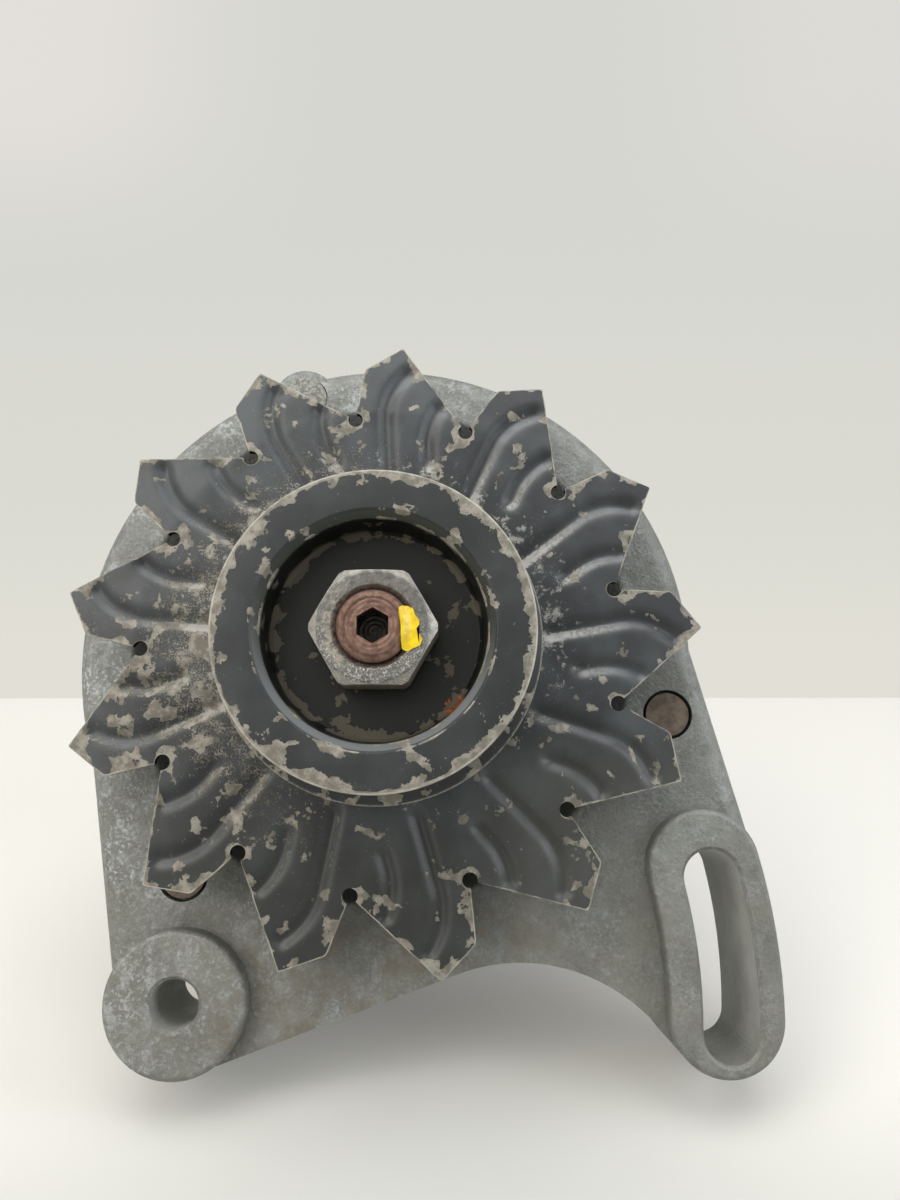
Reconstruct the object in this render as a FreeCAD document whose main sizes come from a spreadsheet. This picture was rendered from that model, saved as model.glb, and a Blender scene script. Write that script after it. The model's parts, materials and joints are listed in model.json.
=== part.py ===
import FreeCAD, Part
import math
import os
import Sketcher

# Engine alternator with a ribbed cooling fan, a deep belt pulley and two mounting lugs.
# Millimetres. +Y runs along the shaft to the rear, +Z is up and +X is right as seen from the pulley.
# The origin is on the shaft axis in the middle plane of the belt groove.

SIZES = {
    # clearances
    "seat_clearance": 0.03,
    "running_clearance": 0.03,
    "open_clearance": 0.3,
    # shaft
    "shaft_radius": 8.5,
    "thread_radius": 7.0,
    "thread_chamfer": 1.4,
    "pole_seat_radius": 9.5,
    "collar_radius": 11.0,
    "shaft_tail_radius": 7.5,
    "shaft_stand_out": 1.4,
    "socket_across_flats": 6.0,
    "socket_depth": 8.0,
    "thread_relief": 4.0,
    "end_chamfer": 1.0,
    # pulley
    "groove_width": 10.0,
    "groove_half_angle": 19.0,
    "groove_floor_radius": 24.6,
    "front_flange_radius": 31.4,
    "rear_flange_radius": 33.7,
    "front_rim_width": 2.5,
    "rear_rim_width": 2.0,
    "recess_mouth_radius": 23.7,
    "recess_mouth_depth": 1.8,
    "recess_wall_radius": 22.0,
    "recess_floor_radius": 21.3,
    "recess_depth": 10.0,
    "pulley_hub_radius": 17.0,
    "pulley_hub_length": 7.5,
    # nut and washer
    "nut_across_flats": 22.0,
    "nut_height": 10.0,
    "nut_chamfer": 1.0,
    "nut_washer_radius": 10.4,
    "nut_washer_thickness": 1.5,
    # fan
    "fan_thickness": 1.8,
    "fan_hub_radius": 23.0,
    "fan_flat_radius": 32.0,
    "fan_hub_rise": 4.0,
    "fan_blades": 13,
    "fan_start_angle": 69.55,
    "fan_relief_radius": 52.5,
    "fan_relief_hole_radius": 1.9,
    "fan_corner_radius": 65.0,
    "fan_corner_lead": 3.0,
    "fan_tip_radius": 70.5,
    "fan_tip_lead": 10.5,
    "fan_tip_droop": 1.8,
    "rib_depth": 1.4,
    "rib_root": 0.2,
    "rib_half_width": 2.5,
    "rib_spread": 0.8,
    "rib_taper": 50.0,
    "rib_lead": 4.5,
    "rib_bend_radius": 15.5,
    "long_rib_offset": -2.65,
    "long_rib_start": 33.5,
    "long_rib_bend": 52.0,
    "long_rib_turn": 50.0,
    "short_rib_offset": -11.65,
    "short_rib_start": 39.0,
    "short_rib_bend": 45.0,
    "short_rib_turn": 36.0,
    # spacer between fan and bearing
    "spacer_radius": 12.5,
    "spacer_length": 10.2,
    # front bearing
    "front_bearing_radius": 23.5,
    "front_bearing_width": 14.0,
    "front_ball_radius": 4.3,
    "front_ball_count": 7,
    "front_race_gap": 6.6,
    # rear bearing
    "rear_bearing_radius": 17.5,
    "rear_bearing_width": 11.0,
    "rear_ball_radius": 3.0,
    "rear_ball_count": 8,
    "rear_race_gap": 4.6,
    "cage_half_width": 1.2,
    "cage_wall": 0.2,
    "seal_thickness": 0.9,
    "seal_inset": 0.3,
    # drive end bracket
    "boss_front_lip": 4.0,
    "boss_radius": 31.0,
    "boss_mouth_radius": 15.0,
    "face_inset": 9.0,
    "front_wall": 5.0,
    "barrel_radius": 71.2,
    "barrel_length": 31.0,
    "barrel_wall": 4.0,
    "rim_rounding": 5.0,
    "stator_seat_depth": 3.0,
    "stator_shoulder": 2.6,
    "shoulder_length": 5.0,
    "window_count": 10,
    "window_inner_radius": 35.0,
    "window_outer_radius": 49.0,
    "window_half_width": 6.2,
    # mounting lugs
    "lug_stand_out": 5.0,
    "lug_length": 30.0,
    "lug_rounding": 1.4,
    "lug_bore_chamfer": 0.7,
    "pivot_across": -43.6,
    "pivot_height": -75.1,
    "pivot_boss_radius": 15.3,
    "pivot_bore_radius": 5.25,
    "edge_chamfer": 1.0,
    "slot_arc_radius": 118.0,
    "slot_half_width": 6.0,
    "slot_low_angle": -3.1,
    "slot_high_angle": 12.6,
    "ear_arc_radius": 117.25,
    "ear_half_width": 12.25,
    "ear_low_angle": -1.5,
    "ear_high_angle": 13.9,
    "skirt_depth": 20.0,
    "skirt_web": 5.5,
    "skirt_wall": 5.0,
    "skirt_left_top": 1.6,
    "skirt_right_top": 1.6,
    "skirt_right_low": -40.0,
    "skirt_right_reach": 1.9,
    "skirt_heel_angle": -69.0,
    "arch_left_angle": 111.0,
    "arch_right_angle": 38.0,
    "arch_radius": 40.0,
    "arch_across": 30.0,
    "arch_height": -107.5,
    # through bolts
    "bolt_circle_radius": 66.0,
    "bolt_count": 3,
    "bolt_first_angle": -12.0,
    "bolt_radius": 2.5,
    "bolt_hole_radius": 2.8,
    "bolt_head_radius": 4.9,
    "bolt_head_height": 3.4,
    "bolt_pocket_radius": 5.6,
    "bolt_pocket_depth": 3.8,
    "bolt_boss_radius": 7.5,
    "rear_lug_radius": 8.0,
    "rear_lug_length": 8.5,
    "bolt_nut_across_flats": 8.0,
    "bolt_nut_height": 4.0,
    # bearing retainer
    "retainer_thickness": 2.0,
    "retainer_radius": 32.5,
    "retainer_mouth_radius": 19.0,
    "retainer_screw_circle": 27.4,
    "retainer_screw_count": 4,
    "retainer_screw_radius": 2.0,
    "retainer_screw_length": 9.0,
    "retainer_screw_angle": 45.0,
    "screw_head_radius": 3.5,
    "screw_head_height": 2.3,
    # stator
    "stator_radius": 62.0,
    "stator_bore_radius": 45.9,
    "stator_stack": 26.0,
    "stator_slots": 36,
    "slot_mouth_half_width": 1.1,
    "slot_mouth_depth": 1.4,
    "slot_body_half_width": 2.2,
    "slot_depth": 11.0,
    "winding_inset": 0.25,
    "winding_overhang": 13.5,
    "winding_rounding": 3.0,
    # rotor
    "air_gap": 0.4,
    "pole_disc": 11.0,
    "pole_core_length": 24.0,
    "pole_core_radius": 17.0,
    "pole_hub_radius": 30.0,
    "pole_pairs": 6,
    "claw_root_half_width": 13.0,
    "claw_tip_half_width": 4.6,
    "claw_root_thickness": 10.6,
    "claw_tip_thickness": 4.0,
    "claw_reach": 29.0,
    "bobbin_wall": 1.2,
    "coil_radius": 32.6,
    # slip rings
    "ring_radius": 13.5,
    "ring_thickness": 2.0,
    "ring_width": 5.0,
    "ring_gap": 1.5,
    "ring_end_margin": 1.0,
    "tail_gap": 2.0,
    # rear bracket
    "rear_radius": 65.5,
    "rear_wall": 4.5,
    "rear_seat_length": 6.0,
    "rear_barrel_wall": 3.8,
    "rear_rounding": 5.0,
    "rear_cap": 2.0,
    "tail_space": 1.0,
    "rear_hub_wall": 4.0,
    "side_slot_count": 18,
    "side_slot_half_width": 3.2,
    "side_slot_start": 9.0,
    "side_slot_length": 18.0,
    "rear_window_count": 5,
    "rear_window_first_angle": -150.0,
    "rear_window_step": 30.0,
    "rear_window_inner_radius": 28.0,
    "rear_window_outer_radius": 53.0,
    "rear_window_half_width": 4.6,
    # rectifier
    "sink_inner_radius": 27.0,
    "sink_margin": 1.2,
    "sink_thickness": 3.5,
    "sink_cut_height": -2.0,
    "sink_spacing": 11.5,
    "diode_radius": 6.35,
    "diode_length": 8.0,
    "diode_circle": 42.0,
    "diode_count": 3,
    "diode_step": 50.0,
    "negative_diode_angle": -160.0,
    "positive_diode_angle": -135.0,
    "lead_radius": 0.7,
    "lead_length": 2.6,
    "sink_screw_circle": 50.5,
    "sink_screw_angle": -172.0,
    "sink_screw_step": 97.0,
    "sink_screw_radius": 2.0,
    "sink_bush_radius": 4.0,
    "hex_head_across_flats": 7.0,
    "hex_head_height": 3.0,
    # battery terminal
    "battery_angle": -14.0,
    "battery_circle": 47.0,
    "battery_stud_radius": 3.0,
    "battery_stud_reach": 14.0,
    "battery_head_across_flats": 10.0,
    "battery_head_height": 4.0,
    "battery_bush_radius": 5.4,
    "battery_bush_flange_radius": 8.5,
    "battery_bush_flange": 2.5,
    "battery_washer_radius": 6.0,
    "battery_washer_thickness": 1.2,
    "battery_nut_height": 5.0,
    # brush gear
    "holder_half_width": 7.5,
    "holder_bottom": 15.2,
    "holder_top": 42.5,
    "holder_front_wall": 1.5,
    "stem_bottom": 26.5,
    "flange_half_width": 24.0,
    "flange_bottom": 24.5,
    "flange_top": 50.0,
    "flange_thickness": 4.0,
    "brush_half_width": 2.8,
    "brush_half_thickness": 2.1,
    "brush_length": 13.0,
    "brush_clearance": 0.15,
    "channel_roof": 2.0,
    "spring_radius": 1.5,
    "spring_wire_radius": 0.3,
    "spring_turns": 6,
    "regulator_half_width": 15.5,
    "regulator_bottom": 27.0,
    "regulator_top": 47.5,
    "regulator_depth": 10.0,
    "regulator_fins": 6,
    "regulator_fin_gap": 2.0,
    "regulator_fin_depth": 4.0,
    "holder_screw_across": 20.0,
    "holder_screw_height": 40.0,
    "holder_screw_radius": 2.0,
    "holder_screw_length": 8.0,
    "tab_half_width": 3.15,
    "tab_thickness": 0.8,
    "tab_length": 10.0,
}

document = FreeCAD.newDocument("Alternator")
sheet = document.addObject("Spreadsheet::Sheet", "Sizes")
for row, (alias, number) in enumerate(SIZES.items(), start=1):
    sheet.set(f"A{row}", alias)
    sheet.set(f"B{row}", str(number))
    sheet.setAlias(f"B{row}", alias)
document.recompute()


class Size:
    """A size as a number, with the formula that ties it to the sheet."""

    def __init__(self, number, formula):
        self.number = float(number)
        self.formula = formula

    def __add__(self, other):
        other = as_size(other)
        return Size(self.number + other.number, f"({self.formula} + {other.formula})")

    def __sub__(self, other):
        other = as_size(other)
        return Size(self.number - other.number, f"({self.formula} - {other.formula})")

    def __mul__(self, other):
        other = as_size(other)
        return Size(self.number * other.number, f"({self.formula} * {other.formula})")

    def __truediv__(self, other):
        other = as_size(other)
        return Size(self.number / other.number, f"({self.formula} / {other.formula})")

    def __neg__(self):
        return Size(-self.number, f"(-{self.formula})")


def as_size(value):
    """Give a plain number the same form as a size from the sheet."""
    return value if isinstance(value, Size) else Size(value, f"({value})")


def cosine(angle):
    """The cosine of a size in degrees."""
    angle = as_size(angle)
    return Size(math.cos(math.radians(angle.number)), f"cos({angle.formula})")


def sine(angle):
    """The sine of a size in degrees."""
    angle = as_size(angle)
    return Size(math.sin(math.radians(angle.number)), f"sin({angle.formula})")


def polar(radius, angle):
    """A point across and up from the shaft axis, from its radius and its angle above +X."""
    return radius * cosine(angle), radius * sine(angle)


class Named:
    """The driving sizes by name."""


size = Named()
for alias in SIZES:
    setattr(size, alias, Size(getattr(sheet, alias), f"Sizes.{alias}"))


def bind(item, target, value):
    """Tie one property or constraint of a document object to the sheet."""
    item.setExpression(target, as_size(value).formula)


def origin_part(body, role):
    """An origin plane or axis of a body, found by its role."""
    return next(part for part in body.Origin.OriginFeatures if part.Role == role)


def new_body(label):
    """Start a sub-part."""
    body = document.addObject("PartDesign::Body", label)
    body.Label = label
    body.AllowCompound = True
    return body


def sketch(body, role="XZ_Plane", at=0.0, turn=0.0):
    """Put a sketch on an origin plane, moved to a station and turned about the plane's normal."""
    drawing = body.newObject("Sketcher::SketchObject", f"{body.Label}_sketch")
    drawing.AttachmentSupport = [(origin_part(body, role), "")]
    drawing.MapMode = "FlatFace"
    station = -as_size(at) if role == "XZ_Plane" else as_size(at)
    angle = as_size(turn)
    drawing.AttachmentOffset = FreeCAD.Placement(
        FreeCAD.Vector(0, 0, station.number),
        FreeCAD.Rotation(FreeCAD.Vector(0, 0, 1), angle.number),
    )
    bind(drawing, "AttachmentOffset.Base.z", station)
    if angle.number:
        bind(drawing, "AttachmentOffset.Rotation.Angle", angle)
    return drawing


def fix_point(drawing, curve, end, across, up):
    """Tie one end or centre of a curve to its place."""
    for kind, value in (("DistanceX", across), ("DistanceY", up)):
        value = as_size(value)
        index = drawing.addConstraint(Sketcher.Constraint(kind, curve, end, value.number))
        bind(drawing, f"Constraints[{index}]", value)


def polygon(drawing, corners):
    """Draw a closed outline of straight lines through its corners."""
    places = [(as_size(across), as_size(up)) for across, up in corners]
    points = [FreeCAD.Vector(across.number, up.number, 0) for across, up in places]
    first = drawing.GeometryCount
    count = len(points)
    for index in range(count):
        line = Part.LineSegment(points[index], points[(index + 1) % count])
        drawing.addGeometry(line, False)
    for index in range(count):
        following = first + (index + 1) % count
        drawing.addConstraint(Sketcher.Constraint("Coincident", first + index, 2, following, 1))
    for index, (across, up) in enumerate(places):
        fix_point(drawing, first + index, 1, across, up)


def box_outline(drawing, left, right, low, high):
    """Draw a rectangle."""
    polygon(drawing, [(left, low), (right, low), (right, high), (left, high)])


def circle(drawing, radius, across=0.0, up=0.0):
    """Draw a circle."""
    radius = as_size(radius)
    centre = FreeCAD.Vector(as_size(across).number, as_size(up).number, 0)
    index = drawing.addGeometry(Part.Circle(centre, FreeCAD.Vector(0, 0, 1), radius.number), False)
    constraint = drawing.addConstraint(Sketcher.Constraint("Radius", index, radius.number))
    bind(drawing, f"Constraints[{constraint}]", radius)
    fix_point(drawing, index, 3, across, up)


def hexagon(drawing, across_flats, across=0.0, up=0.0, first_corner=0.0):
    """Draw a hexagon from its width across flats."""
    corner_radius = across_flats / 2 / cosine(30)
    corners = []
    for index in range(6):
        over, rise = polar(corner_radius, first_corner + 60 * index)
        corners.append((over + across, rise + up))
    polygon(drawing, corners)


def arc_slot(drawing, centre, arc_radius, half_width, low_angle, high_angle):
    """Draw a round-ended slot that follows an arc about a centre."""
    across, up = centre
    middle = FreeCAD.Vector(across.number, up.number, 0)
    axis = FreeCAD.Vector(0, 0, 1)
    low = math.radians(low_angle.number)
    high = math.radians(high_angle.number)
    sides = []
    for radius in (arc_radius - half_width, arc_radius + half_width):
        side = Part.ArcOfCircle(Part.Circle(middle, axis, radius.number), low, high)
        index = drawing.addGeometry(side, False)
        fix_point(drawing, index, 3, across, up)
        constraint = drawing.addConstraint(Sketcher.Constraint("Radius", index, radius.number))
        bind(drawing, f"Constraints[{constraint}]", radius)
        sides.append(index)
    for angle, end, start_angle in ((low_angle, 1, low - math.pi), (high_angle, 2, high)):
        over, rise = polar(arc_radius, angle)
        point = FreeCAD.Vector((over + across).number, (rise + up).number, 0)
        cap = Part.ArcOfCircle(
            Part.Circle(point, axis, half_width.number), start_angle, start_angle + math.pi
        )
        index = drawing.addGeometry(cap, False)
        inner_end, outer_end = (1, 2) if end == 1 else (2, 1)
        drawing.addConstraint(Sketcher.Constraint("Tangent", index, inner_end, sides[0], end))
        drawing.addConstraint(Sketcher.Constraint("Tangent", index, outer_end, sides[1], end))
        height = rise + up
        constraint = drawing.addConstraint(Sketcher.Constraint("DistanceY", index, 3, height.number))
        bind(drawing, f"Constraints[{constraint}]", height)


def solid_volume(body):
    """The volume of a body so far."""
    document.recompute()
    return body.Shape.Volume


def pad(body, drawing, length, reverse=True):
    """Pad a sketch. A sketch across the shaft is padded to the rear."""
    feature = body.newObject("PartDesign::Pad", f"{body.Label}_pad")
    feature.Profile = drawing
    bind(feature, "Length", length)
    feature.Reversed = reverse
    return feature


def pocket(body, drawing, depth, reverse=False):
    """Pocket a sketch and make sure that it cuts. A sketch across the shaft cuts to the rear."""
    before = solid_volume(body)
    feature = body.newObject("PartDesign::Pocket", f"{body.Label}_pocket")
    feature.Profile = drawing
    bind(feature, "Length", depth)
    feature.Reversed = reverse
    if solid_volume(body) >= before:
        raise RuntimeError(f"a pocket of {body.Label} cuts nothing")
    return feature


def revolve(body, corners, angle=360.0):
    """Turn an outline of radius and station about the shaft axis."""
    drawing = sketch(body, "XY_Plane")
    polygon(drawing, corners)
    feature = body.newObject("PartDesign::Revolution", f"{body.Label}_turn")
    feature.Profile = drawing
    feature.ReferenceAxis = (drawing, ["V_Axis"])
    feature.Angle = angle
    return feature


def groove(body, corners):
    """Turn an outline of radius and station about the shaft axis and cut it away."""
    before = solid_volume(body)
    drawing = sketch(body, "XY_Plane")
    polygon(drawing, corners)
    feature = body.newObject("PartDesign::Groove", f"{body.Label}_groove")
    feature.Profile = drawing
    feature.ReferenceAxis = (drawing, ["V_Axis"])
    if solid_volume(body) >= before:
        raise RuntimeError(f"a groove of {body.Label} cuts nothing")
    return feature


def quarter_turn(radius, steps=6):
    """Points round a quarter of a circle, for the rounded edge of a turned outline."""
    return [polar(radius, as_size(90) * index / steps) for index in range(steps + 1)]


def ring_outline(inner, outer, front, back):
    """The outline of a plain ring, for revolve and groove."""
    return [(inner, front), (outer, front), (outer, back), (inner, back)]


def repeat_round(body, features, count, span=360.0):
    """Repeat features about the shaft axis."""
    pattern = body.newObject("PartDesign::PolarPattern", f"{body.Label}_pattern")
    pattern.Originals = features
    pattern.Axis = (origin_part(body, "Y_Axis"), [""])
    bind(pattern, "Angle", span)
    bind(pattern, "Occurrences", count)
    body.Tip = pattern
    return pattern


def edges_that(body, test):
    """The names of the tip's edges that pass a test."""
    document.recompute()
    shape = body.Tip.Shape
    return [f"Edge{index}" for index, edge in enumerate(shape.Edges, start=1) if test(edge)]


def soften(body, kind, test, amount):
    """Round or chamfer the edges that pass a test."""
    names = edges_that(body, test)
    if not names:
        raise RuntimeError(f"{body.Label} has no edge to soften")
    base = body.Tip
    feature = body.newObject(f"PartDesign::{kind}", f"{body.Label}_{kind.lower()}")
    feature.Base = (base, names)
    bind(feature, "Radius" if kind == "Fillet" else "Size", amount)
    return feature


def turned(label, corners):
    """A sub-part that is one turned profile."""
    body = new_body(label)
    revolve(body, corners)
    return body


# Stations along the shaft, from the middle of the belt groove to the rear.

groove_slope = sine(size.groove_half_angle) / cosine(size.groove_half_angle)
groove_half_width = size.groove_width / 2
pulley_front = -groove_half_width - size.front_rim_width
recess_floor = pulley_front + size.recess_depth
rear_flange_front = groove_half_width + (size.rear_flange_radius - size.front_flange_radius) * groove_slope
rear_flange_back = rear_flange_front + size.rear_rim_width
pulley_back = rear_flange_back + size.pulley_hub_length
washer_front = recess_floor - size.nut_washer_thickness
nut_front = washer_front - size.nut_height
shaft_front = nut_front - size.shaft_stand_out
fan_front = pulley_back
fan_back = fan_front + size.fan_thickness
blade_front = fan_front + size.fan_hub_rise
blade_back = blade_front + size.fan_thickness
bearing_front = fan_back + size.spacer_length
bearing_back = bearing_front + size.front_bearing_width
boss_front = bearing_front - size.boss_front_lip
face = boss_front + size.face_inset
wall_back = face + size.front_wall
barrel_back = face + size.barrel_length
stator_front = barrel_back - size.stator_seat_depth
stator_back = stator_front + size.stator_stack
stator_middle = stator_front + size.stator_stack / 2
core_front = stator_middle - size.pole_core_length / 2
core_back = stator_middle + size.pole_core_length / 2
pole_front = core_front - size.pole_disc
pole_back = core_back + size.pole_disc
sleeve_front = pole_back + size.tail_gap
first_ring = sleeve_front + size.ring_end_margin
second_ring = first_ring + size.ring_width + size.ring_gap
sleeve_back = second_ring + size.ring_width + size.ring_end_margin
rear_bearing_front = sleeve_back + size.tail_gap
rear_bearing_back = rear_bearing_front + size.rear_bearing_width
shaft_back = rear_bearing_back
cap_inside = shaft_back + size.tail_space
rear_face = cap_inside + size.rear_cap
rear_inside = rear_face - size.rear_wall
rear_front = stator_back - size.stator_seat_depth
lug_front = face - size.lug_stand_out
lug_back = lug_front + size.lug_length
bolt_seat = face + size.bolt_pocket_depth
rear_lug_back = rear_front + size.rear_lug_length
rotor_radius = size.stator_bore_radius - size.air_gap
rear_barrel = (size.bolt_circle_radius - size.bolt_nut_across_flats / 2 / cosine(30)
               - size.open_clearance)
rear_cavity = rear_barrel - size.rear_barrel_wall
sink_outer = rear_cavity - size.sink_margin
negative_front = rear_inside - size.sink_thickness
positive_front = negative_front - size.sink_spacing - size.sink_thickness
positive_back = positive_front + size.sink_thickness
flange_back = rear_face + size.flange_thickness
pivot = (size.pivot_across, size.pivot_height)


def pulley():
    """The belt pulley, turned from solid, with a deep recess for the nut."""
    body = new_body("pulley")
    floor = size.groove_floor_radius
    front_floor = -groove_half_width + (size.front_flange_radius - floor) * groove_slope
    back_floor = groove_half_width - (size.front_flange_radius - floor) * groove_slope
    revolve(body, [
        (size.shaft_radius + size.seat_clearance, recess_floor),
        (size.recess_floor_radius, recess_floor),
        (size.recess_wall_radius, pulley_front + size.recess_mouth_depth),
        (size.recess_mouth_radius, pulley_front),
        (size.front_flange_radius - size.edge_chamfer / 2, pulley_front),
        (size.front_flange_radius, pulley_front + size.edge_chamfer / 2),
        (size.front_flange_radius, -groove_half_width),
        (floor, front_floor),
        (floor, back_floor),
        (size.rear_flange_radius, rear_flange_front),
        (size.rear_flange_radius, rear_flange_back - size.edge_chamfer / 2),
        (size.rear_flange_radius - size.edge_chamfer, rear_flange_back),
        (size.pulley_hub_radius, rear_flange_back + size.edge_chamfer / 2),
        (size.pulley_hub_radius, pulley_back),
        (size.shaft_radius + size.seat_clearance, pulley_back),
    ])
    return body


def rotor_shaft():
    """The shaft: thread and hex socket at the front, seats for both bearings, poles and slip rings."""
    body = new_body("rotor_shaft")
    thread_back = recess_floor + size.thread_relief
    revolve(body, [
        (0, shaft_front),
        (size.thread_radius - size.thread_chamfer, shaft_front),
        (size.thread_radius, shaft_front + size.thread_chamfer),
        (size.thread_radius, thread_back),
        (size.shaft_radius, thread_back + size.shaft_radius - size.thread_radius),
        (size.shaft_radius, bearing_back),
        (size.collar_radius, bearing_back),
        (size.collar_radius, pole_front),
        (size.pole_seat_radius, pole_front),
        (size.pole_seat_radius, pole_back),
        (size.shaft_tail_radius, pole_back + size.tail_gap),
        (size.shaft_tail_radius, shaft_back - size.end_chamfer),
        (size.shaft_tail_radius - size.end_chamfer, shaft_back),
        (0, shaft_back),
    ])
    drawing = sketch(body, at=shaft_front)
    hexagon(drawing, size.socket_across_flats, first_corner=30)
    pocket(body, drawing, size.socket_depth)
    return body


def pulley_nut():
    """The hexagon nut with chamfered front corners."""
    body = new_body("pulley_nut")
    drawing = sketch(body, at=nut_front)
    hexagon(drawing, size.nut_across_flats)
    circle(drawing, size.thread_radius + size.seat_clearance)
    pad(body, drawing, size.nut_height)
    corner = size.nut_across_flats / 2 / cosine(30)
    flat = size.nut_across_flats / 2
    groove(body, [
        (flat - size.nut_chamfer / 2, nut_front),
        (corner + size.nut_chamfer, nut_front),
        (corner + size.nut_chamfer, nut_front + size.nut_chamfer * 2),
    ])
    mouth = size.thread_radius + size.seat_clearance
    groove(body, [
        (mouth - size.seat_clearance, nut_front),
        (mouth + size.nut_chamfer, nut_front),
        (mouth - size.seat_clearance, nut_front + size.nut_chamfer + size.seat_clearance),
    ])
    return body


def cooling_fan():
    """The stamped fan: a dished sheet cut into hooked blades, each with two ribs pressed to the rear."""
    body = new_body("cooling_fan")
    bore = size.shaft_radius + size.seat_clearance
    bend = size.fan_relief_radius + size.fan_relief_hole_radius
    edge = size.fan_tip_radius + size.fan_thickness
    front = [(bore, fan_front), (size.fan_hub_radius, fan_front), (size.fan_flat_radius, blade_front),
             (bend, blade_front), (edge, blade_front + size.fan_tip_droop)]
    back = [(radius, station + size.fan_thickness) for radius, station in reversed(front)]
    revolve(body, front + back)
    paths = [
        (size.long_rib_offset, size.long_rib_start, size.long_rib_bend, size.long_rib_turn),
        (size.short_rib_offset, size.short_rib_start, size.short_rib_bend, size.short_rib_turn),
    ]
    ridges = []
    for path in paths:
        ridge = pad(body, rib_band(body, blade_back - size.rib_root, size.rib_half_width + size.rib_spread, *path),
                    size.rib_depth + size.rib_root)
        bind(ridge, "TaperAngle", -size.rib_taper)
        ridges.append(ridge)
    repeat_round(body, ridges, size.fan_blades)
    grooves = []
    for path in paths:
        valley = pocket(body, rib_band(body, blade_front, size.rib_half_width, *path), size.rib_depth)
        bind(valley, "TaperAngle", -size.rib_taper)
        grooves.append(valley)
    repeat_round(body, grooves, size.fan_blades)
    clear = size.open_clearance
    depth = clear + size.fan_tip_droop + size.fan_thickness * 2 + size.rib_depth
    pitch = as_size(360) / size.fan_blades
    outside = size.fan_tip_radius + size.fan_thickness * 2
    drawing = sketch(body, at=blade_front - clear, turn=size.fan_start_angle)
    polygon(drawing, [
        polar(size.fan_relief_radius, -pitch),
        polar(size.fan_tip_radius, -size.fan_tip_lead),
        polar(outside, -size.fan_tip_lead),
        polar(outside, -size.fan_tip_lead - pitch / 2),
        polar(outside, -size.fan_tip_lead - pitch),
        polar(size.fan_tip_radius, -size.fan_tip_lead - pitch),
        polar(size.fan_corner_radius, -size.fan_corner_lead - pitch),
    ])
    notch = pocket(body, drawing, depth)
    repeat_round(body, [notch], size.fan_blades)
    drawing = sketch(body, at=blade_front - clear, turn=size.fan_start_angle)
    circle(drawing, size.fan_relief_hole_radius, size.fan_relief_radius, 0)
    relief = pocket(body, drawing, depth)
    repeat_round(body, [relief], size.fan_blades)
    return body


def rib_band(body, at, half, offset, start, bend, turn):
    """The outline of one pressed rib: out beside the blade's radius, then bent towards its long edge."""
    drawing = sketch(body, at=at, turn=size.fan_start_angle - size.rib_lead)
    centre = (bend, offset - size.rib_bend_radius)
    middle = FreeCAD.Vector(centre[0].number, centre[1].number, 0)
    finish = math.radians(90 - turn.number)
    ends = []
    for side in (half, -half):
        radius = size.rib_bend_radius + side
        level = offset + side
        line = drawing.addGeometry(Part.LineSegment(
            FreeCAD.Vector(start.number, level.number, 0), FreeCAD.Vector(bend.number, level.number, 0)
        ), False)
        bow = Part.Circle(middle, FreeCAD.Vector(0, 0, 1), radius.number)
        arc = drawing.addGeometry(Part.ArcOfCircle(bow, finish, math.pi / 2), False)
        fix_point(drawing, line, 1, start, level)
        fix_point(drawing, arc, 3, *centre)
        index = drawing.addConstraint(Sketcher.Constraint("Radius", arc, radius.number))
        bind(drawing, f"Constraints[{index}]", radius)
        drawing.addConstraint(Sketcher.Constraint("Tangent", line, 2, arc, 2))
        reach = bend + radius * sine(turn)
        index = drawing.addConstraint(Sketcher.Constraint("DistanceX", arc, 1, reach.number))
        bind(drawing, f"Constraints[{index}]", reach)
        ends.append((line, arc, level, radius))
    (top, outer, _, _), (bottom, inner, _, _) = ends
    start_line = Part.LineSegment(
        FreeCAD.Vector(start.number, ends[0][2].number, 0), FreeCAD.Vector(start.number, ends[1][2].number, 0)
    )
    near = drawing.addGeometry(start_line, False)
    tips = [middle + FreeCAD.Vector(math.cos(finish), math.sin(finish), 0) * radius.number
            for _, _, _, radius in ends]
    far = drawing.addGeometry(Part.LineSegment(tips[0], tips[1]), False)
    for line, end, other, other_end in ((near, 1, top, 1), (near, 2, bottom, 1),
                                        (far, 1, outer, 1), (far, 2, inner, 1)):
        drawing.addConstraint(Sketcher.Constraint("Coincident", line, end, other, other_end))
    return drawing


def nut_washer():
    """The plain washer under the pulley nut."""
    return turned("nut_washer", ring_outline(
        size.thread_radius + size.open_clearance, size.nut_washer_radius, washer_front, recess_floor
    ))


def fan_spacer():
    """The distance collar between the fan and the front bearing."""
    return turned("fan_spacer", ring_outline(
        size.shaft_radius + size.seat_clearance, size.spacer_radius, fan_back, bearing_front
    ))


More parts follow.
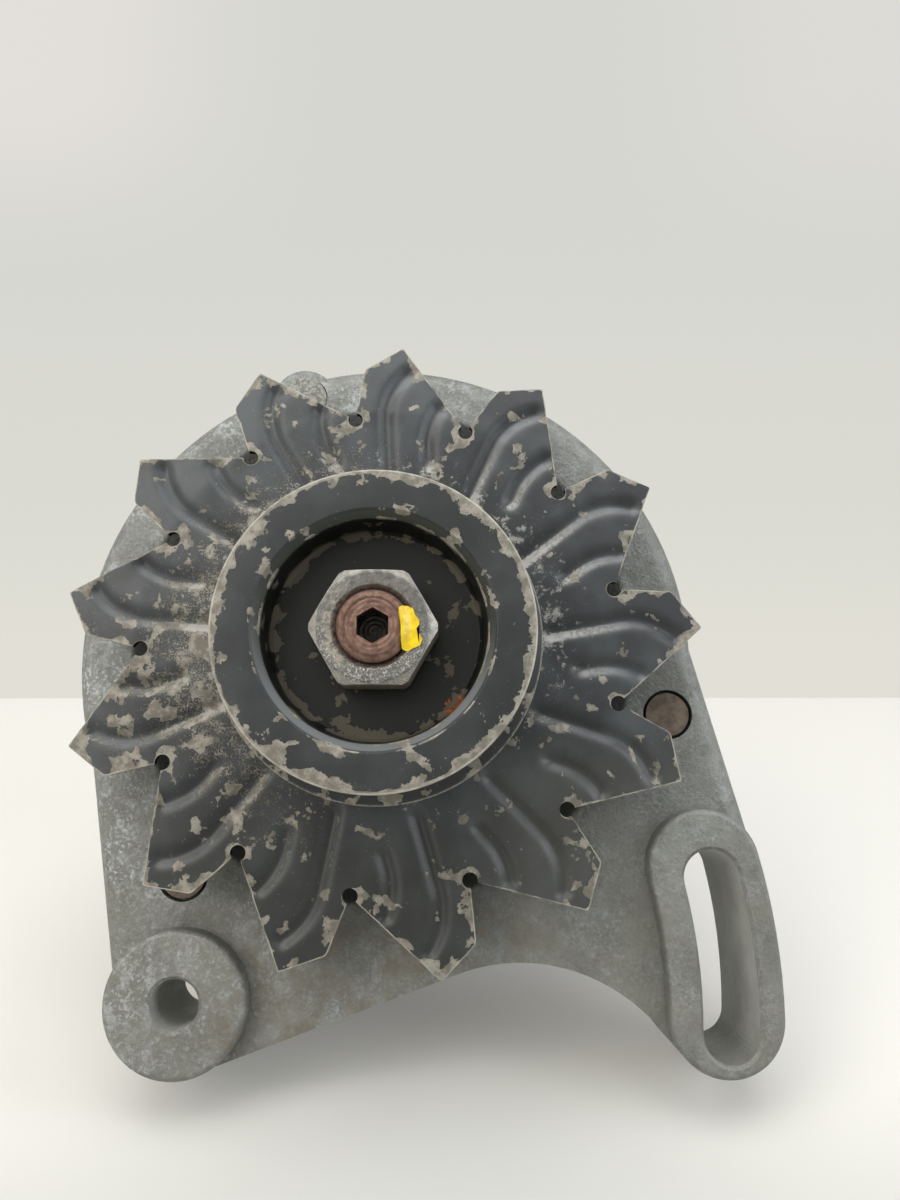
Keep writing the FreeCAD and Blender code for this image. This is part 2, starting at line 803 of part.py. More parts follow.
class Bearing:
    """The sizes and places that the pieces of one ball bearing share."""

    def __init__(self, name, bore, outside, width, front, ball, count, gap):
        self.name = name
        self.bore = bore + size.seat_clearance
        self.outside = outside
        self.width = width
        self.front = front
        self.back = front + width
        self.middle = front + width / 2
        self.ball = ball
        self.count = count
        self.pitch = (self.bore + outside) / 2
        self.inner_land = self.pitch - gap / 2
        self.outer_land = self.pitch + gap / 2

    def race(self, suffix, inner, outer):
        """One race with its ball groove."""
        body = turned(f"{self.name}_{suffix}", ring_outline(inner, outer, self.front, self.back))
        before = solid_volume(body)
        drawing = sketch(body, "XY_Plane")
        circle(drawing, self.ball + size.running_clearance, self.pitch, self.middle)
        feature = body.newObject("PartDesign::Groove", f"{body.Label}_groove")
        feature.Profile = drawing
        feature.ReferenceAxis = (drawing, ["V_Axis"])
        if solid_volume(body) >= before:
            raise RuntimeError(f"the groove of {body.Label} cuts nothing")
        return body

    def balls(self):
        """The balls, as a group of separate solids."""
        body = new_body(f"{self.name}_balls")
        ball = body.newObject("PartDesign::AdditiveSphere", f"{body.Label}_sphere")
        ball.AttachmentSupport = [(origin_part(body, "XZ_Plane"), "")]
        ball.MapMode = "FlatFace"
        ball.AttachmentOffset = FreeCAD.Placement(
            FreeCAD.Vector(self.pitch.number, 0, -self.middle.number), FreeCAD.Rotation()
        )
        bind(ball, "AttachmentOffset.Base.x", self.pitch)
        bind(ball, "AttachmentOffset.Base.z", -self.middle)
        bind(ball, "Radius", self.ball)
        document.recompute()
        repeat_round(body, [ball], self.count)
        return body

    def cage(self):
        """The cage that keeps the balls apart."""
        body = new_body(f"{self.name}_cage")
        half = self.ball * size.cage_half_width
        wall = (self.outer_land - self.inner_land) * size.cage_wall
        revolve(body, ring_outline(
            self.pitch - wall, self.pitch + wall, self.middle - half, self.middle + half
        ))
        drawing = sketch(body, "YZ_Plane")
        circle(drawing, self.ball + size.open_clearance / 2, self.middle, 0)
        cut = pocket(body, drawing, self.outside, reverse=True)
        repeat_round(body, [cut], self.count)
        return body

    def seals(self):
        """The two rubber seals, seated in the outer race's lands."""
        body = new_body(f"{self.name}_seals")
        inner = self.inner_land + size.open_clearance
        outer = self.outer_land
        for front in (self.front + size.seal_inset, self.back - size.seal_inset - size.seal_thickness):
            revolve(body, ring_outline(inner, outer, front, front + size.seal_thickness))
        return body

    def pieces(self):
        """Every piece of the bearing."""
        return [
            self.race("inner_race", self.bore, self.inner_land),
            self.race("outer_race", self.outer_land, self.outside),
            self.balls(),
            self.cage(),
            self.seals(),
        ]


def front_bearing():
    """The bearing behind the fan."""
    return Bearing("front_bearing", size.shaft_radius, size.front_bearing_radius, size.front_bearing_width,
                   bearing_front, size.front_ball_radius, size.front_ball_count, size.front_race_gap).pieces()


def rear_bearing():
    """The bearing behind the slip rings."""
    return Bearing("rear_bearing", size.shaft_tail_radius, size.rear_bearing_radius, size.rear_bearing_width,
                   rear_bearing_front, size.rear_ball_radius, size.rear_ball_count,
                   size.rear_race_gap).pieces()


def arch_points(radius, steps=4):
    """Points along the arch between the lugs, from left to right."""
    left, right = size.arch_left_angle, size.arch_right_angle
    points = []
    for index in range(steps + 1):
        across, up = polar(radius, left + (right - left) * index / steps)
        points.append((across + size.arch_across, up + size.arch_height))
    return points


def skirt(body):
    """The web that carries both lugs under the barrel, hollow behind, with the arch cut out of it."""
    across, up = pivot
    boss = size.pivot_boss_radius
    wall = size.skirt_wall
    ear_side = size.slot_arc_radius + size.slot_half_width + across
    heel = polar(boss, size.skirt_heel_angle)
    left = [(-size.barrel_radius, size.skirt_left_top), (across - boss, up)]
    right = [(ear_side + size.skirt_right_reach, size.skirt_right_low),
             (size.barrel_radius, size.skirt_right_top)]
    foot = (ear_side - size.ear_half_width, up - size.ear_half_width)
    drawing = sketch(body, at=face)
    polygon(drawing, left + [(across + heel[0], up + heel[1])] + arch_points(size.arch_radius)[::4]
            + [foot] + right)
    pad(body, drawing, size.skirt_depth)
    soften(body, "Fillet", front_edge_between(*left), size.rim_rounding)
    soften(body, "Fillet", front_edge_between(*right), size.rim_rounding)
    drawing = sketch(body, at=face + size.skirt_web)
    polygon(drawing, [(over + wall, rise) for over, rise in left]
            + [(across + heel[0], up + heel[1] + wall)] + arch_points(size.arch_radius + wall)
            + [(foot[0], foot[1] + wall)] + [(over - wall, rise) for over, rise in right])
    pocket(body, drawing, size.skirt_depth)
    drawing = sketch(body, at=face)
    circle(drawing, size.arch_radius, size.arch_across, size.arch_height)
    pocket(body, drawing, size.skirt_depth)


def front_edge_between(start, end):
    """A test for the straight edge of the front face between two corners."""
    ends = [FreeCAD.Vector(across.number, face.number, up.number) for across, up in (start, end)]
    near = 0.01

    def test(edge):
        points = [vertex.Point for vertex in edge.Vertexes]
        return len(points) == 2 and all(min(point.distanceToPoint(end) for end in ends) < near
                                        for point in points)

    return test


def lug_front_edge(outer):
    """A test for the edges of the lugs' front faces: their outlines, or else their bore and slot."""
    near = 0.01
    slot = [size.slot_arc_radius - size.slot_half_width, size.slot_arc_radius + size.slot_half_width,
            size.slot_half_width, size.pivot_bore_radius]

    def test(edge):
        curve = edge.Curve
        if not isinstance(curve, Part.Circle):
            return False
        points = [vertex.Point for vertex in edge.Vertexes]
        if not all(abs(point.y - lug_front.number) < near and math.hypot(point.x, point.z)
                   > size.window_outer_radius.number for point in points):
            return False
        inside = any(abs(curve.Radius - radius.number) < near for radius in slot)
        return inside != outer

    return test


def bolt_circles(body, radius, front, length, cut=False):
    """The same round boss or hole at each through bolt."""
    drawing = sketch(body, at=front, turn=size.bolt_first_angle)
    circle(drawing, radius, size.bolt_circle_radius, 0)
    feature = pocket(body, drawing, length) if cut else pad(body, drawing, length)
    repeat_round(body, [feature], size.bolt_count)


def drive_end_bracket():
    """The cast front bracket: barrel, bearing boss, windows, skirt, pivot boss and slotted ear."""
    body = new_body("drive_end_bracket")
    skirt(body)
    rounding = size.rim_rounding
    steps = quarter_turn(rounding)[::-1]
    corner = (size.barrel_radius - rounding, face + rounding)
    revolve(body, [(size.boss_radius, wall_back), (size.boss_radius, face)]
            + [(corner[0] + over, corner[1] - rise) for over, rise in steps]
            + [(size.barrel_radius, barrel_back), (size.boss_radius * 2, barrel_back),
               (size.boss_radius * 2, wall_back)])
    bolt_circles(body, size.bolt_boss_radius, face + size.edge_chamfer, size.barrel_length - size.edge_chamfer)
    seat = size.stator_radius + size.seat_clearance
    cavity = size.barrel_radius - size.barrel_wall
    shoulder = size.stator_radius - size.stator_shoulder
    groove(body, [
        (0, wall_back),
        (cavity, wall_back),
        (cavity, stator_front - size.shoulder_length * 2),
        (shoulder, stator_front - size.shoulder_length),
        (shoulder, stator_front),
        (seat, stator_front),
        (seat, barrel_back + size.edge_chamfer),
        (0, barrel_back + size.edge_chamfer),
    ])
    bolt_circles(body, size.bolt_head_radius + size.bolt_radius, face + size.edge_chamfer,
                 stator_front - face - size.edge_chamfer)
    revolve(body, ring_outline(size.boss_mouth_radius, size.boss_radius, boss_front, bearing_back))
    drawing = sketch(body, at=boss_front, turn=size.retainer_screw_angle)
    circle(drawing, size.screw_head_radius + size.edge_chamfer, size.retainer_screw_circle, 0)
    repeat_round(body, [pad(body, drawing, bearing_back - boss_front)], size.retainer_screw_count)
    groove(body, ring_outline(0, size.front_bearing_radius + size.seat_clearance,
                              bearing_front, bearing_back + size.edge_chamfer))
    windows(body)
    lugs(body)
    bolt_circles(body, size.bolt_pocket_radius, face - size.edge_chamfer,
                 size.bolt_pocket_depth + size.edge_chamfer, cut=True)
    bolt_circles(body, size.bolt_hole_radius, face, size.barrel_length + size.edge_chamfer, cut=True)
    drawing = sketch(body, at=bearing_back - size.retainer_screw_length, turn=size.retainer_screw_angle)
    circle(drawing, size.retainer_screw_radius + size.seat_clearance, size.retainer_screw_circle, 0)
    hole = pocket(body, drawing, size.retainer_screw_length + size.edge_chamfer)
    repeat_round(body, [hole], size.retainer_screw_count)
    return body


def windows(body):
    """The air windows in the front wall, behind the fan."""
    drawing = sketch(body, at=face - size.edge_chamfer, turn=size.bolt_first_angle)
    half = size.window_half_width
    narrow = half * size.window_inner_radius / size.window_outer_radius
    polygon(drawing, [
        (size.window_inner_radius, -narrow),
        (size.window_outer_radius, -half),
        (size.window_outer_radius, half),
        (size.window_inner_radius, narrow),
    ])
    cut = pocket(body, drawing, size.front_wall + size.edge_chamfer * 2)
    repeat_round(body, [cut], size.window_count)


def lugs(body):
    """The pivot boss and the slotted adjusting ear."""
    drawing = sketch(body, at=lug_front)
    circle(drawing, size.pivot_boss_radius, *pivot)
    pad(body, drawing, size.lug_length)
    drawing = sketch(body, at=lug_front)
    arc_slot(drawing, pivot, size.ear_arc_radius, size.ear_half_width, size.ear_low_angle,
             size.ear_high_angle)
    pad(body, drawing, size.lug_length)
    soften(body, "Fillet", lug_front_edge(True), size.lug_rounding)
    drawing = sketch(body, at=lug_front)
    circle(drawing, size.pivot_bore_radius, *pivot)
    pocket(body, drawing, size.lug_length)
    drawing = sketch(body, at=lug_front)
    arc_slot(drawing, pivot, size.slot_arc_radius, size.slot_half_width, size.slot_low_angle,
             size.slot_high_angle)
    pocket(body, drawing, size.lug_length)
    soften(body, "Chamfer", lug_front_edge(False), size.lug_bore_chamfer)


def bearing_retainer():
    """The plate that holds the front bearing in its boss."""
    body = turned("bearing_retainer", ring_outline(
        size.retainer_mouth_radius, size.retainer_radius, bearing_back, bearing_back + size.retainer_thickness
    ))
    drawing = sketch(body, at=bearing_back, turn=size.retainer_screw_angle)
    circle(drawing, size.retainer_screw_radius + size.seat_clearance, size.retainer_screw_circle, 0)
    repeat_round(body, [pocket(body, drawing, size.retainer_thickness)], size.retainer_screw_count)
    return body


def retainer_screws():
    """The screws that hold the retainer, as a group of separate solids."""
    body = new_body("retainer_screws")
    head_front = bearing_back + size.retainer_thickness
    drawing = sketch(body, at=bearing_back - size.retainer_screw_length + size.open_clearance, turn=size.retainer_screw_angle)
    circle(drawing, size.retainer_screw_radius, size.retainer_screw_circle, 0)
    shank = pad(body, drawing, size.retainer_screw_length + size.retainer_thickness)
    drawing = sketch(body, at=head_front, turn=size.retainer_screw_angle)
    circle(drawing, size.screw_head_radius, size.retainer_screw_circle, 0)
    head = pad(body, drawing, size.screw_head_height)
    repeat_round(body, [shank, head], size.retainer_screw_count)
    return body


def stator_core():
    """The stack of laminations with its winding slots."""
    body = turned("stator_core", ring_outline(
        size.stator_bore_radius, size.stator_radius, stator_front, stator_back
    ))
    drawing = sketch(body, at=stator_front)
    mouth = size.slot_mouth_half_width
    wide = size.slot_body_half_width
    polygon(drawing, [
        (size.stator_bore_radius - size.air_gap, -mouth),
        (size.stator_bore_radius + size.slot_mouth_depth, -mouth),
        (size.stator_bore_radius + size.slot_mouth_depth, -wide),
        (size.stator_bore_radius + size.slot_depth, -wide),
        (size.stator_bore_radius + size.slot_depth, wide),
        (size.stator_bore_radius + size.slot_mouth_depth, wide),
        (size.stator_bore_radius + size.slot_mouth_depth, mouth),
        (size.stator_bore_radius - size.air_gap, mouth),
    ])
    repeat_round(body, [pocket(body, drawing, size.stator_stack)], size.stator_slots)
    return body


def stator_winding():
    """The copper winding: an overhang each side of the core, joined by a bar in every slot."""
    body = new_body("stator_winding")
    inner = size.stator_bore_radius + size.slot_mouth_depth + size.winding_inset
    outer = size.stator_bore_radius + size.slot_depth - size.winding_inset
    soft = size.winding_rounding
    inset = size.winding_inset
    front = stator_front - size.winding_overhang
    back = stator_back + size.winding_overhang
    revolve(body, [
        (inner, stator_front - inset), (inner, front + soft), (inner + soft, front),
        (outer - soft, front), (outer, front + soft), (outer, stator_front - inset),
    ])
    drawing = sketch(body, at=stator_front - inset * 2)
    box_outline(drawing, inner, outer, inset - size.slot_body_half_width, size.slot_body_half_width - inset)
    bar = pad(body, drawing, size.stator_stack + inset * 4)
    repeat_round(body, [bar], size.stator_slots)
    revolve(body, [
        (inner, stator_back + inset), (outer, stator_back + inset), (outer, back - soft),
        (outer - soft, back), (inner + soft, back), (inner, back - soft),
    ])
    return body


def claw_pole(label, front):
    """One half of the claw-pole rotor: a hub disc with six tapering claws that reach over the coil."""
    body = new_body(label)
    disc_front = pole_front if front else core_back
    root = core_front if front else core_back
    outside = rotor_radius + size.air_gap
    turn = 0 if front else as_size(180) / size.pole_pairs
    revolve(body, ring_outline(size.pole_seat_radius + size.seat_clearance, size.pole_hub_radius,
                               disc_front, disc_front + size.pole_disc))
    drawing = sketch(body, at=disc_front, turn=turn)
    wide = size.claw_root_half_width
    box_outline(drawing, size.pole_hub_radius - size.claw_tip_half_width * 2, outside, -wide, wide)
    arm = pad(body, drawing, size.pole_disc)
    ends = []
    for station, half, thickness in (
        (root, wide, size.claw_root_thickness),
        (root + size.claw_reach if front else root - size.claw_reach,
         size.claw_tip_half_width, size.claw_tip_thickness),
    ):
        end = sketch(body, at=station, turn=turn)
        box_outline(end, rotor_radius - thickness, outside, -half, half)
        ends.append(end)
    claw = body.newObject("PartDesign::AdditiveLoft", f"{label}_claw")
    claw.Profile = ends[0]
    claw.Sections = [ends[1]]
    claw.Ruled = True
    repeat_round(body, [arm, claw], size.pole_pairs)
    groove(body, ring_outline(rotor_radius, outside + size.claw_root_thickness,
                              pole_front - size.pole_disc, pole_back + size.pole_disc))
    return body


def rotor_core_pieces():
    """The iron core, the bobbin and the field coil between the claw poles."""
    core = turned("field_core", ring_outline(
        size.pole_seat_radius + size.seat_clearance, size.pole_core_radius, core_front, core_back
    ))
    inner = size.pole_core_radius + size.seat_clearance
    wall = size.bobbin_wall
    rim = size.coil_radius
    bobbin = turned("coil_bobbin", [
        (inner, core_front), (rim, core_front), (rim, core_front + wall), (inner + wall, core_front + wall),
        (inner + wall, core_back - wall), (rim, core_back - wall), (rim, core_back), (inner, core_back),
    ])
    coil = turned("field_coil", ring_outline(
        inner + wall, rim - wall / 2, core_front + wall, core_back - wall
    ))
    return [core, bobbin, coil]


def slip_ring_pieces():
    """The two copper slip rings on their insulating sleeve."""
    seat = size.ring_radius - size.ring_thickness
    sleeve = turned("slip_ring_sleeve", ring_outline(
        size.shaft_tail_radius + size.seat_clearance, seat, sleeve_front, sleeve_back
    ))
    rings = [
        turned(label, ring_outline(seat, size.ring_radius, station, station + size.ring_width))
        for label, station in (("slip_ring_front", first_ring), ("slip_ring_rear", second_ring))
    ]
    return [sleeve] + rings


def slip_ring_end_bracket():
    """The cast rear bracket: barrel with side slots, bolt lugs, bearing hub and rear wall."""
    body = new_body("slip_ring_end_bracket")
    cavity = rear_cavity
    rounding = size.rear_rounding
    steps = quarter_turn(rounding)
    corner = (rear_barrel - rounding, rear_face - rounding)
    hub = size.rear_bearing_radius + size.rear_hub_wall
    bearing_seat = size.rear_bearing_radius + size.seat_clearance
    seat_back = rear_front + size.rear_seat_length
    revolve(body, [(size.stator_radius + size.seat_clearance, rear_front), (size.rear_radius, rear_front),
                   (size.rear_radius, seat_back), (rear_barrel, rear_lug_back)]
            + [(corner[0] + over, corner[1] + rise) for over, rise in steps]
            + [(0, rear_face), (0, cap_inside),
               (bearing_seat - size.edge_chamfer * 2, cap_inside),
               (bearing_seat - size.edge_chamfer * 2, rear_bearing_back),
               (bearing_seat, rear_bearing_back), (bearing_seat, rear_bearing_front),
               (hub, rear_bearing_front), (hub, rear_inside), (cavity, rear_inside),
               (cavity, stator_back), (size.stator_radius + size.seat_clearance, stator_back)])
    bolt_circles(body, size.rear_lug_radius, rear_front, size.rear_lug_length)
    groove(body, ring_outline(cavity / 2, size.stator_radius + size.seat_clearance,
                              rear_front - size.edge_chamfer, stator_back))
    groove(body, ring_outline(hub + size.edge_chamfer, cavity, stator_back, rear_inside))
    bolt_circles(body, size.bolt_hole_radius, rear_front, size.rear_lug_length, cut=True)
    drawing = sketch(body, "XY_Plane", at=cavity / 2)
    start = stator_back + size.side_slot_start
    half = size.side_slot_half_width
    box_outline(drawing, -half, half, start, start + size.side_slot_length)
    slots = pocket(body, drawing, size.rear_radius, reverse=True)
    repeat_round(body, [slots], size.side_slot_count)
    rear_openings(body)
    return body


def rear_openings(body):
    """The openings of the rear wall: cooling windows, brush gear, terminal and screw holes."""
    depth = size.rear_wall + size.edge_chamfer
    drawing = sketch(body, at=rear_inside, turn=size.rear_window_first_angle)
    half = size.rear_window_half_width
    narrow = half * size.rear_window_inner_radius / size.rear_window_outer_radius
    polygon(drawing, [
        (size.rear_window_inner_radius, -narrow), (size.rear_window_outer_radius, -half),
        (size.rear_window_outer_radius, half), (size.rear_window_inner_radius, narrow),
    ])
    span = size.rear_window_step * (size.rear_window_count - 1)
    repeat_round(body, [pocket(body, drawing, depth)], size.rear_window_count, -span)
    drawing = sketch(body, at=rear_inside)
    side = size.holder_half_width + size.open_clearance
    box_outline(drawing, -side, side, size.stem_bottom - size.open_clearance,
                size.holder_top + size.open_clearance)
    pocket(body, drawing, depth)
    for across in (-size.holder_screw_across, size.holder_screw_across):
        drawing = sketch(body, at=rear_inside)
        circle(drawing, size.holder_screw_radius + size.seat_clearance, across, size.holder_screw_height)
        pocket(body, drawing, depth)
    drawing = sketch(body, at=rear_inside)
    circle(drawing, size.battery_bush_radius + size.seat_clearance,
           *polar(size.battery_circle, size.battery_angle))
    pocket(body, drawing, depth)
    drawing = sketch(body, at=rear_inside, turn=size.sink_screw_angle)
    circle(drawing, size.sink_screw_radius + size.seat_clearance, size.sink_screw_circle, 0)
    repeat_round(body, [pocket(body, drawing, depth)], 2, -size.sink_screw_step)


def through_bolts():
    """The three long bolts that clamp the brackets on the stator, as a group of separate solids."""
    body = new_body("through_bolts")
    nut_back = rear_lug_back + size.bolt_nut_height
    drawing = sketch(body, at=bolt_seat, turn=size.bolt_first_angle)
    circle(drawing, size.bolt_radius, size.bolt_circle_radius, 0)
    shank = pad(body, drawing, nut_back + size.shaft_stand_out - bolt_seat)
    drawing = sketch(body, at=bolt_seat - size.bolt_head_height, turn=size.bolt_first_angle)
    circle(drawing, size.bolt_head_radius, size.bolt_circle_radius, 0)
    head = pad(body, drawing, size.bolt_head_height)
    repeat_round(body, [shank, head], size.bolt_count)
    return body


def through_bolt_nuts():
    """The nuts behind the rear lugs, as a group of separate solids."""
    body = new_body("through_bolt_nuts")
    drawing = sketch(body, at=rear_lug_back, turn=size.bolt_first_angle)
    hexagon(drawing, size.bolt_nut_across_flats, size.bolt_circle_radius, first_corner=30)
    circle(drawing, size.bolt_radius + size.seat_clearance, size.bolt_circle_radius, 0)
    repeat_round(body, [pad(body, drawing, size.bolt_nut_height)], size.bolt_count)
    return body


def heat_sink(label, front):
    """One half-moon heat sink with the seats of its diodes, its screws and the battery stud."""
    body = new_body(label)
    negative = label == "negative_heat_sink"
    drawing = sketch(body, at=front)
    circle(drawing, sink_outer)
    circle(drawing, size.sink_inner_radius)
    pad(body, drawing, size.sink_thickness)
    drawing = sketch(body, at=front)
    wide = sink_outer + size.edge_chamfer
    box_outline(drawing, -wide, wide, size.sink_cut_height, wide)
    pocket(body, drawing, size.sink_thickness)
    first = size.negative_diode_angle if negative else size.positive_diode_angle
    drawing = sketch(body, at=front, turn=first)
    circle(drawing, size.diode_radius + size.seat_clearance, size.diode_circle, 0)
    span = size.diode_step * (size.diode_count - 1)
    repeat_round(body, [pocket(body, drawing, size.sink_thickness)], size.diode_count, -span)
    stud_hole = size.battery_bush_radius if negative else size.battery_stud_radius
    drawing = sketch(body, at=front)
    circle(drawing, stud_hole + size.seat_clearance, *polar(size.battery_circle, size.battery_angle))
    pocket(body, drawing, size.sink_thickness)
    drawing = sketch(body, at=front, turn=size.sink_screw_angle)
    circle(drawing, size.sink_screw_radius + size.seat_clearance, size.sink_screw_circle, 0)
    repeat_round(body, [pocket(body, drawing, size.sink_thickness)], 2, -size.sink_screw_step)
    return body


def diodes(label, front, angle, forward):
    """The pressed-in diodes of one heat sink with their lead pins, as a group of separate solids."""
    body = new_body(label)
    start = front + size.sink_thickness - size.diode_length if forward else front
    lead_start = start - size.lead_length if forward else start + size.diode_length
    drawing = sketch(body, at=start, turn=angle)
    circle(drawing, size.diode_radius, size.diode_circle, 0)
    can = pad(body, drawing, size.diode_length)
    drawing = sketch(body, at=lead_start, turn=angle)
    circle(drawing, size.lead_radius, size.diode_circle, 0)
    lead = pad(body, drawing, size.lead_length)
    span = size.diode_step * (size.diode_count - 1)
    repeat_round(body, [can, lead], size.diode_count, -span)
    return body


def rectifier_fixings():
    """The insulating bushes between the heat sinks, and the screws that hold the sinks to the rear wall."""
    bushes = new_body("rectifier_bushes")
    drawing = sketch(bushes, at=positive_back, turn=size.sink_screw_angle)
    circle(drawing, size.sink_bush_radius, size.sink_screw_circle, 0)
    circle(drawing, size.sink_screw_radius + size.seat_clearance, size.sink_screw_circle, 0)
    repeat_round(bushes, [pad(bushes, drawing, size.sink_spacing)], 2, -size.sink_screw_step)
    screws = new_body("rectifier_screws")
    drawing = sketch(screws, at=positive_front - size.edge_chamfer, turn=size.sink_screw_angle)
    circle(drawing, size.sink_screw_radius, size.sink_screw_circle, 0)
    shank = pad(screws, drawing, rear_face - positive_front + size.edge_chamfer)
    drawing = sketch(screws, at=rear_face, turn=size.sink_screw_angle)
    hexagon(drawing, size.hex_head_across_flats, size.sink_screw_circle)
    head = pad(screws, drawing, size.hex_head_height)
    repeat_round(screws, [shank, head], 2, -size.sink_screw_step)
    return [bushes, screws]


def battery_terminal():
    """The output stud, from its head on the positive sink out through an insulating bush."""
    across, up = polar(size.battery_circle, size.battery_angle)
    fit = size.seat_clearance
    bush_back = rear_face + size.battery_bush_flange
    washer_back = bush_back + size.battery_washer_thickness
    stud = new_body("battery_stud")
    drawing = sketch(stud, at=positive_front - size.battery_head_height)
    hexagon(drawing, size.battery_head_across_flats, across, up)
    pad(stud, drawing, size.battery_head_height)
    drawing = sketch(stud, at=positive_front)
    circle(drawing, size.battery_stud_radius, across, up)
    pad(stud, drawing, rear_face - positive_front + size.battery_stud_reach)
    bush = new_body("battery_bush")
    drawing = sketch(bush, at=positive_back)
    circle(drawing, size.battery_bush_radius, across, up)
    circle(drawing, size.battery_stud_radius + fit, across, up)
    pad(bush, drawing, rear_face - positive_back)
    drawing = sketch(bush, at=rear_face)
    circle(drawing, size.battery_bush_flange_radius, across, up)
    circle(drawing, size.battery_stud_radius + fit, across, up)
    pad(bush, drawing, size.battery_bush_flange)
    washer = new_body("battery_washer")
    drawing = sketch(washer, at=bush_back)
    circle(drawing, size.battery_washer_radius, across, up)
    circle(drawing, size.battery_stud_radius + fit, across, up)
    pad(washer, drawing, size.battery_washer_thickness)
    nut = new_body("battery_nut")
    drawing = sketch(nut, at=washer_back)
    hexagon(drawing, size.battery_head_across_flats, across, up)
    circle(drawing, size.battery_stud_radius + fit, across, up)
    pad(nut, drawing, size.battery_nut_height)
    return [stud, bush, washer, nut]


def block(body, left, right, low, high, front, back):
    """Pad a rectangular block between two stations along the shaft."""
    drawing = sketch(body, at=front)
    box_outline(drawing, left, right, low, high)
    return pad(body, drawing, back - front)


def brush_middle(ring_front):
    """The station of the middle of the brush that runs on a ring."""
    return ring_front + size.ring_width / 2


def brush_top():
    """The height of a brush's top face when it rests on its ring."""
    return size.ring_radius + size.brush_length


def brush_holder():
    """The moulded brush holder: a snout over the slip rings, a stem through the wall and a flange."""
    body = new_body("brush_holder")
    side = size.holder_half_width
    front = brush_middle(first_ring) - size.brush_half_thickness - size.brush_clearance - size.holder_front_wall
    back = brush_middle(second_ring) + size.brush_half_thickness + size.brush_clearance + size.holder_front_wall
    wide = size.flange_half_width
    block(body, -side, side, size.holder_bottom, size.holder_top, front, back)
    block(body, -side, side, size.stem_bottom, size.holder_top, back, rear_face)
    block(body, -wide, wide, size.flange_bottom, size.flange_top, rear_face, flange_back)
    across = size.brush_half_width + size.brush_clearance
    along = size.brush_half_thickness + size.brush_clearance
    for ring in (first_ring, second_ring):
        drawing = sketch(body, "XY_Plane", at=size.holder_bottom - size.edge_chamfer)
        middle = brush_middle(ring)
        box_outline(drawing, -across, across, middle - along, middle + along)
        depth = size.holder_top - size.channel_roof - size.holder_bottom + size.edge_chamfer
        pocket(body, drawing, depth, reverse=True)
    for across in (-size.holder_screw_across, size.holder_screw_across):
        drawing = sketch(body, at=rear_face)
        circle(drawing, size.holder_screw_radius + size.seat_clearance, across, size.holder_screw_height)
        pocket(body, drawing, size.flange_thickness)
    return body


def brush(label, ring_front):
    """One carbon brush, its foot worn to the ring."""
    body = new_body(label)
    middle = brush_middle(ring_front)
    half = size.brush_half_thickness
    wide = size.brush_half_width
    block(body, -wide, wide, size.ring_radius - size.edge_chamfer, brush_top(), middle - half, middle + half)
    groove(body, ring_outline(size.ring_radius / 2, size.ring_radius + size.running_clearance,
                              middle - half - size.edge_chamfer, middle + half + size.edge_chamfer))
    return body


def brush_spring(label, ring_front):
    """One coil spring between a brush and the roof of its channel."""
    wire = size.spring_wire_radius
    low = brush_top() + wire
    high = size.holder_top - size.channel_roof - wire
    coil = document.addObject("Part::Helix", f"{label}_coil")
    bind(coil, "Radius", size.spring_radius)
    bind(coil, "Height", high - low)
    bind(coil, "Pitch", (high - low) / size.spring_turns)
    section = document.addObject("Part::RegularPolygon", f"{label}_wire")
    section.Polygon = 6
    bind(section, "Circumradius", wire)
    section.Placement = FreeCAD.Placement(
        FreeCAD.Vector(size.spring_radius.number, 0, 0), FreeCAD.Rotation(FreeCAD.Vector(1, 0, 0), 90)
    )
    bind(section, "Placement.Base.x", size.spring_radius)
    spring = document.addObject("Part::Sweep", label)
    spring.Label = label
    spring.Sections = [section]
    spring.Spine = coil
    spring.Solid = True
    spring.Frenet = True
    middle = brush_middle(ring_front)
    spring.Placement = FreeCAD.Placement(FreeCAD.Vector(0, middle.number, low.number), FreeCAD.Rotation())
    bind(spring, "Placement.Base.y", middle)
    bind(spring, "Placement.Base.z", low)
    return spring


def holder_fixings():
    """The regulator on the brush holder, the holder's two screws and the warning lamp tab."""
    regulator = new_body("regulator")
    side = size.regulator_half_width
    back = flange_back + size.regulator_depth
    block(regulator, -side, side, size.regulator_bottom, size.regulator_top, flange_back, back)
    pitch = side * 2 / (size.regulator_fins + 1)
    for index in range(int(size.regulator_fins.number)):
        drawing = sketch(regulator, at=back - size.regulator_fin_depth)
        middle = -side + pitch * (index + 1)
        half = size.regulator_fin_gap / 2
        box_outline(drawing, middle - half, middle + half,
                    size.regulator_bottom - size.edge_chamfer, size.regulator_top + size.edge_chamfer)
        pocket(regulator, drawing, size.regulator_fin_depth)
    screws = new_body("holder_screws")
    for across in (-size.holder_screw_across, size.holder_screw_across):
        drawing = sketch(screws, at=flange_back - size.holder_screw_length)
        circle(drawing, size.holder_screw_radius, across, size.holder_screw_height)
        pad(screws, drawing, size.holder_screw_length)
        drawing = sketch(screws, at=flange_back)
        circle(drawing, size.screw_head_radius, across, size.holder_screw_height)
        pad(screws, drawing, size.screw_head_height)
    tab = new_body("warning_lamp_tab")
    high = size.flange_top - size.edge_chamfer
    block(tab, -size.tab_half_width, size.tab_half_width, high - size.tab_thickness, high,
          flange_back, flange_back + size.tab_length)
    return [regulator, screws, tab]


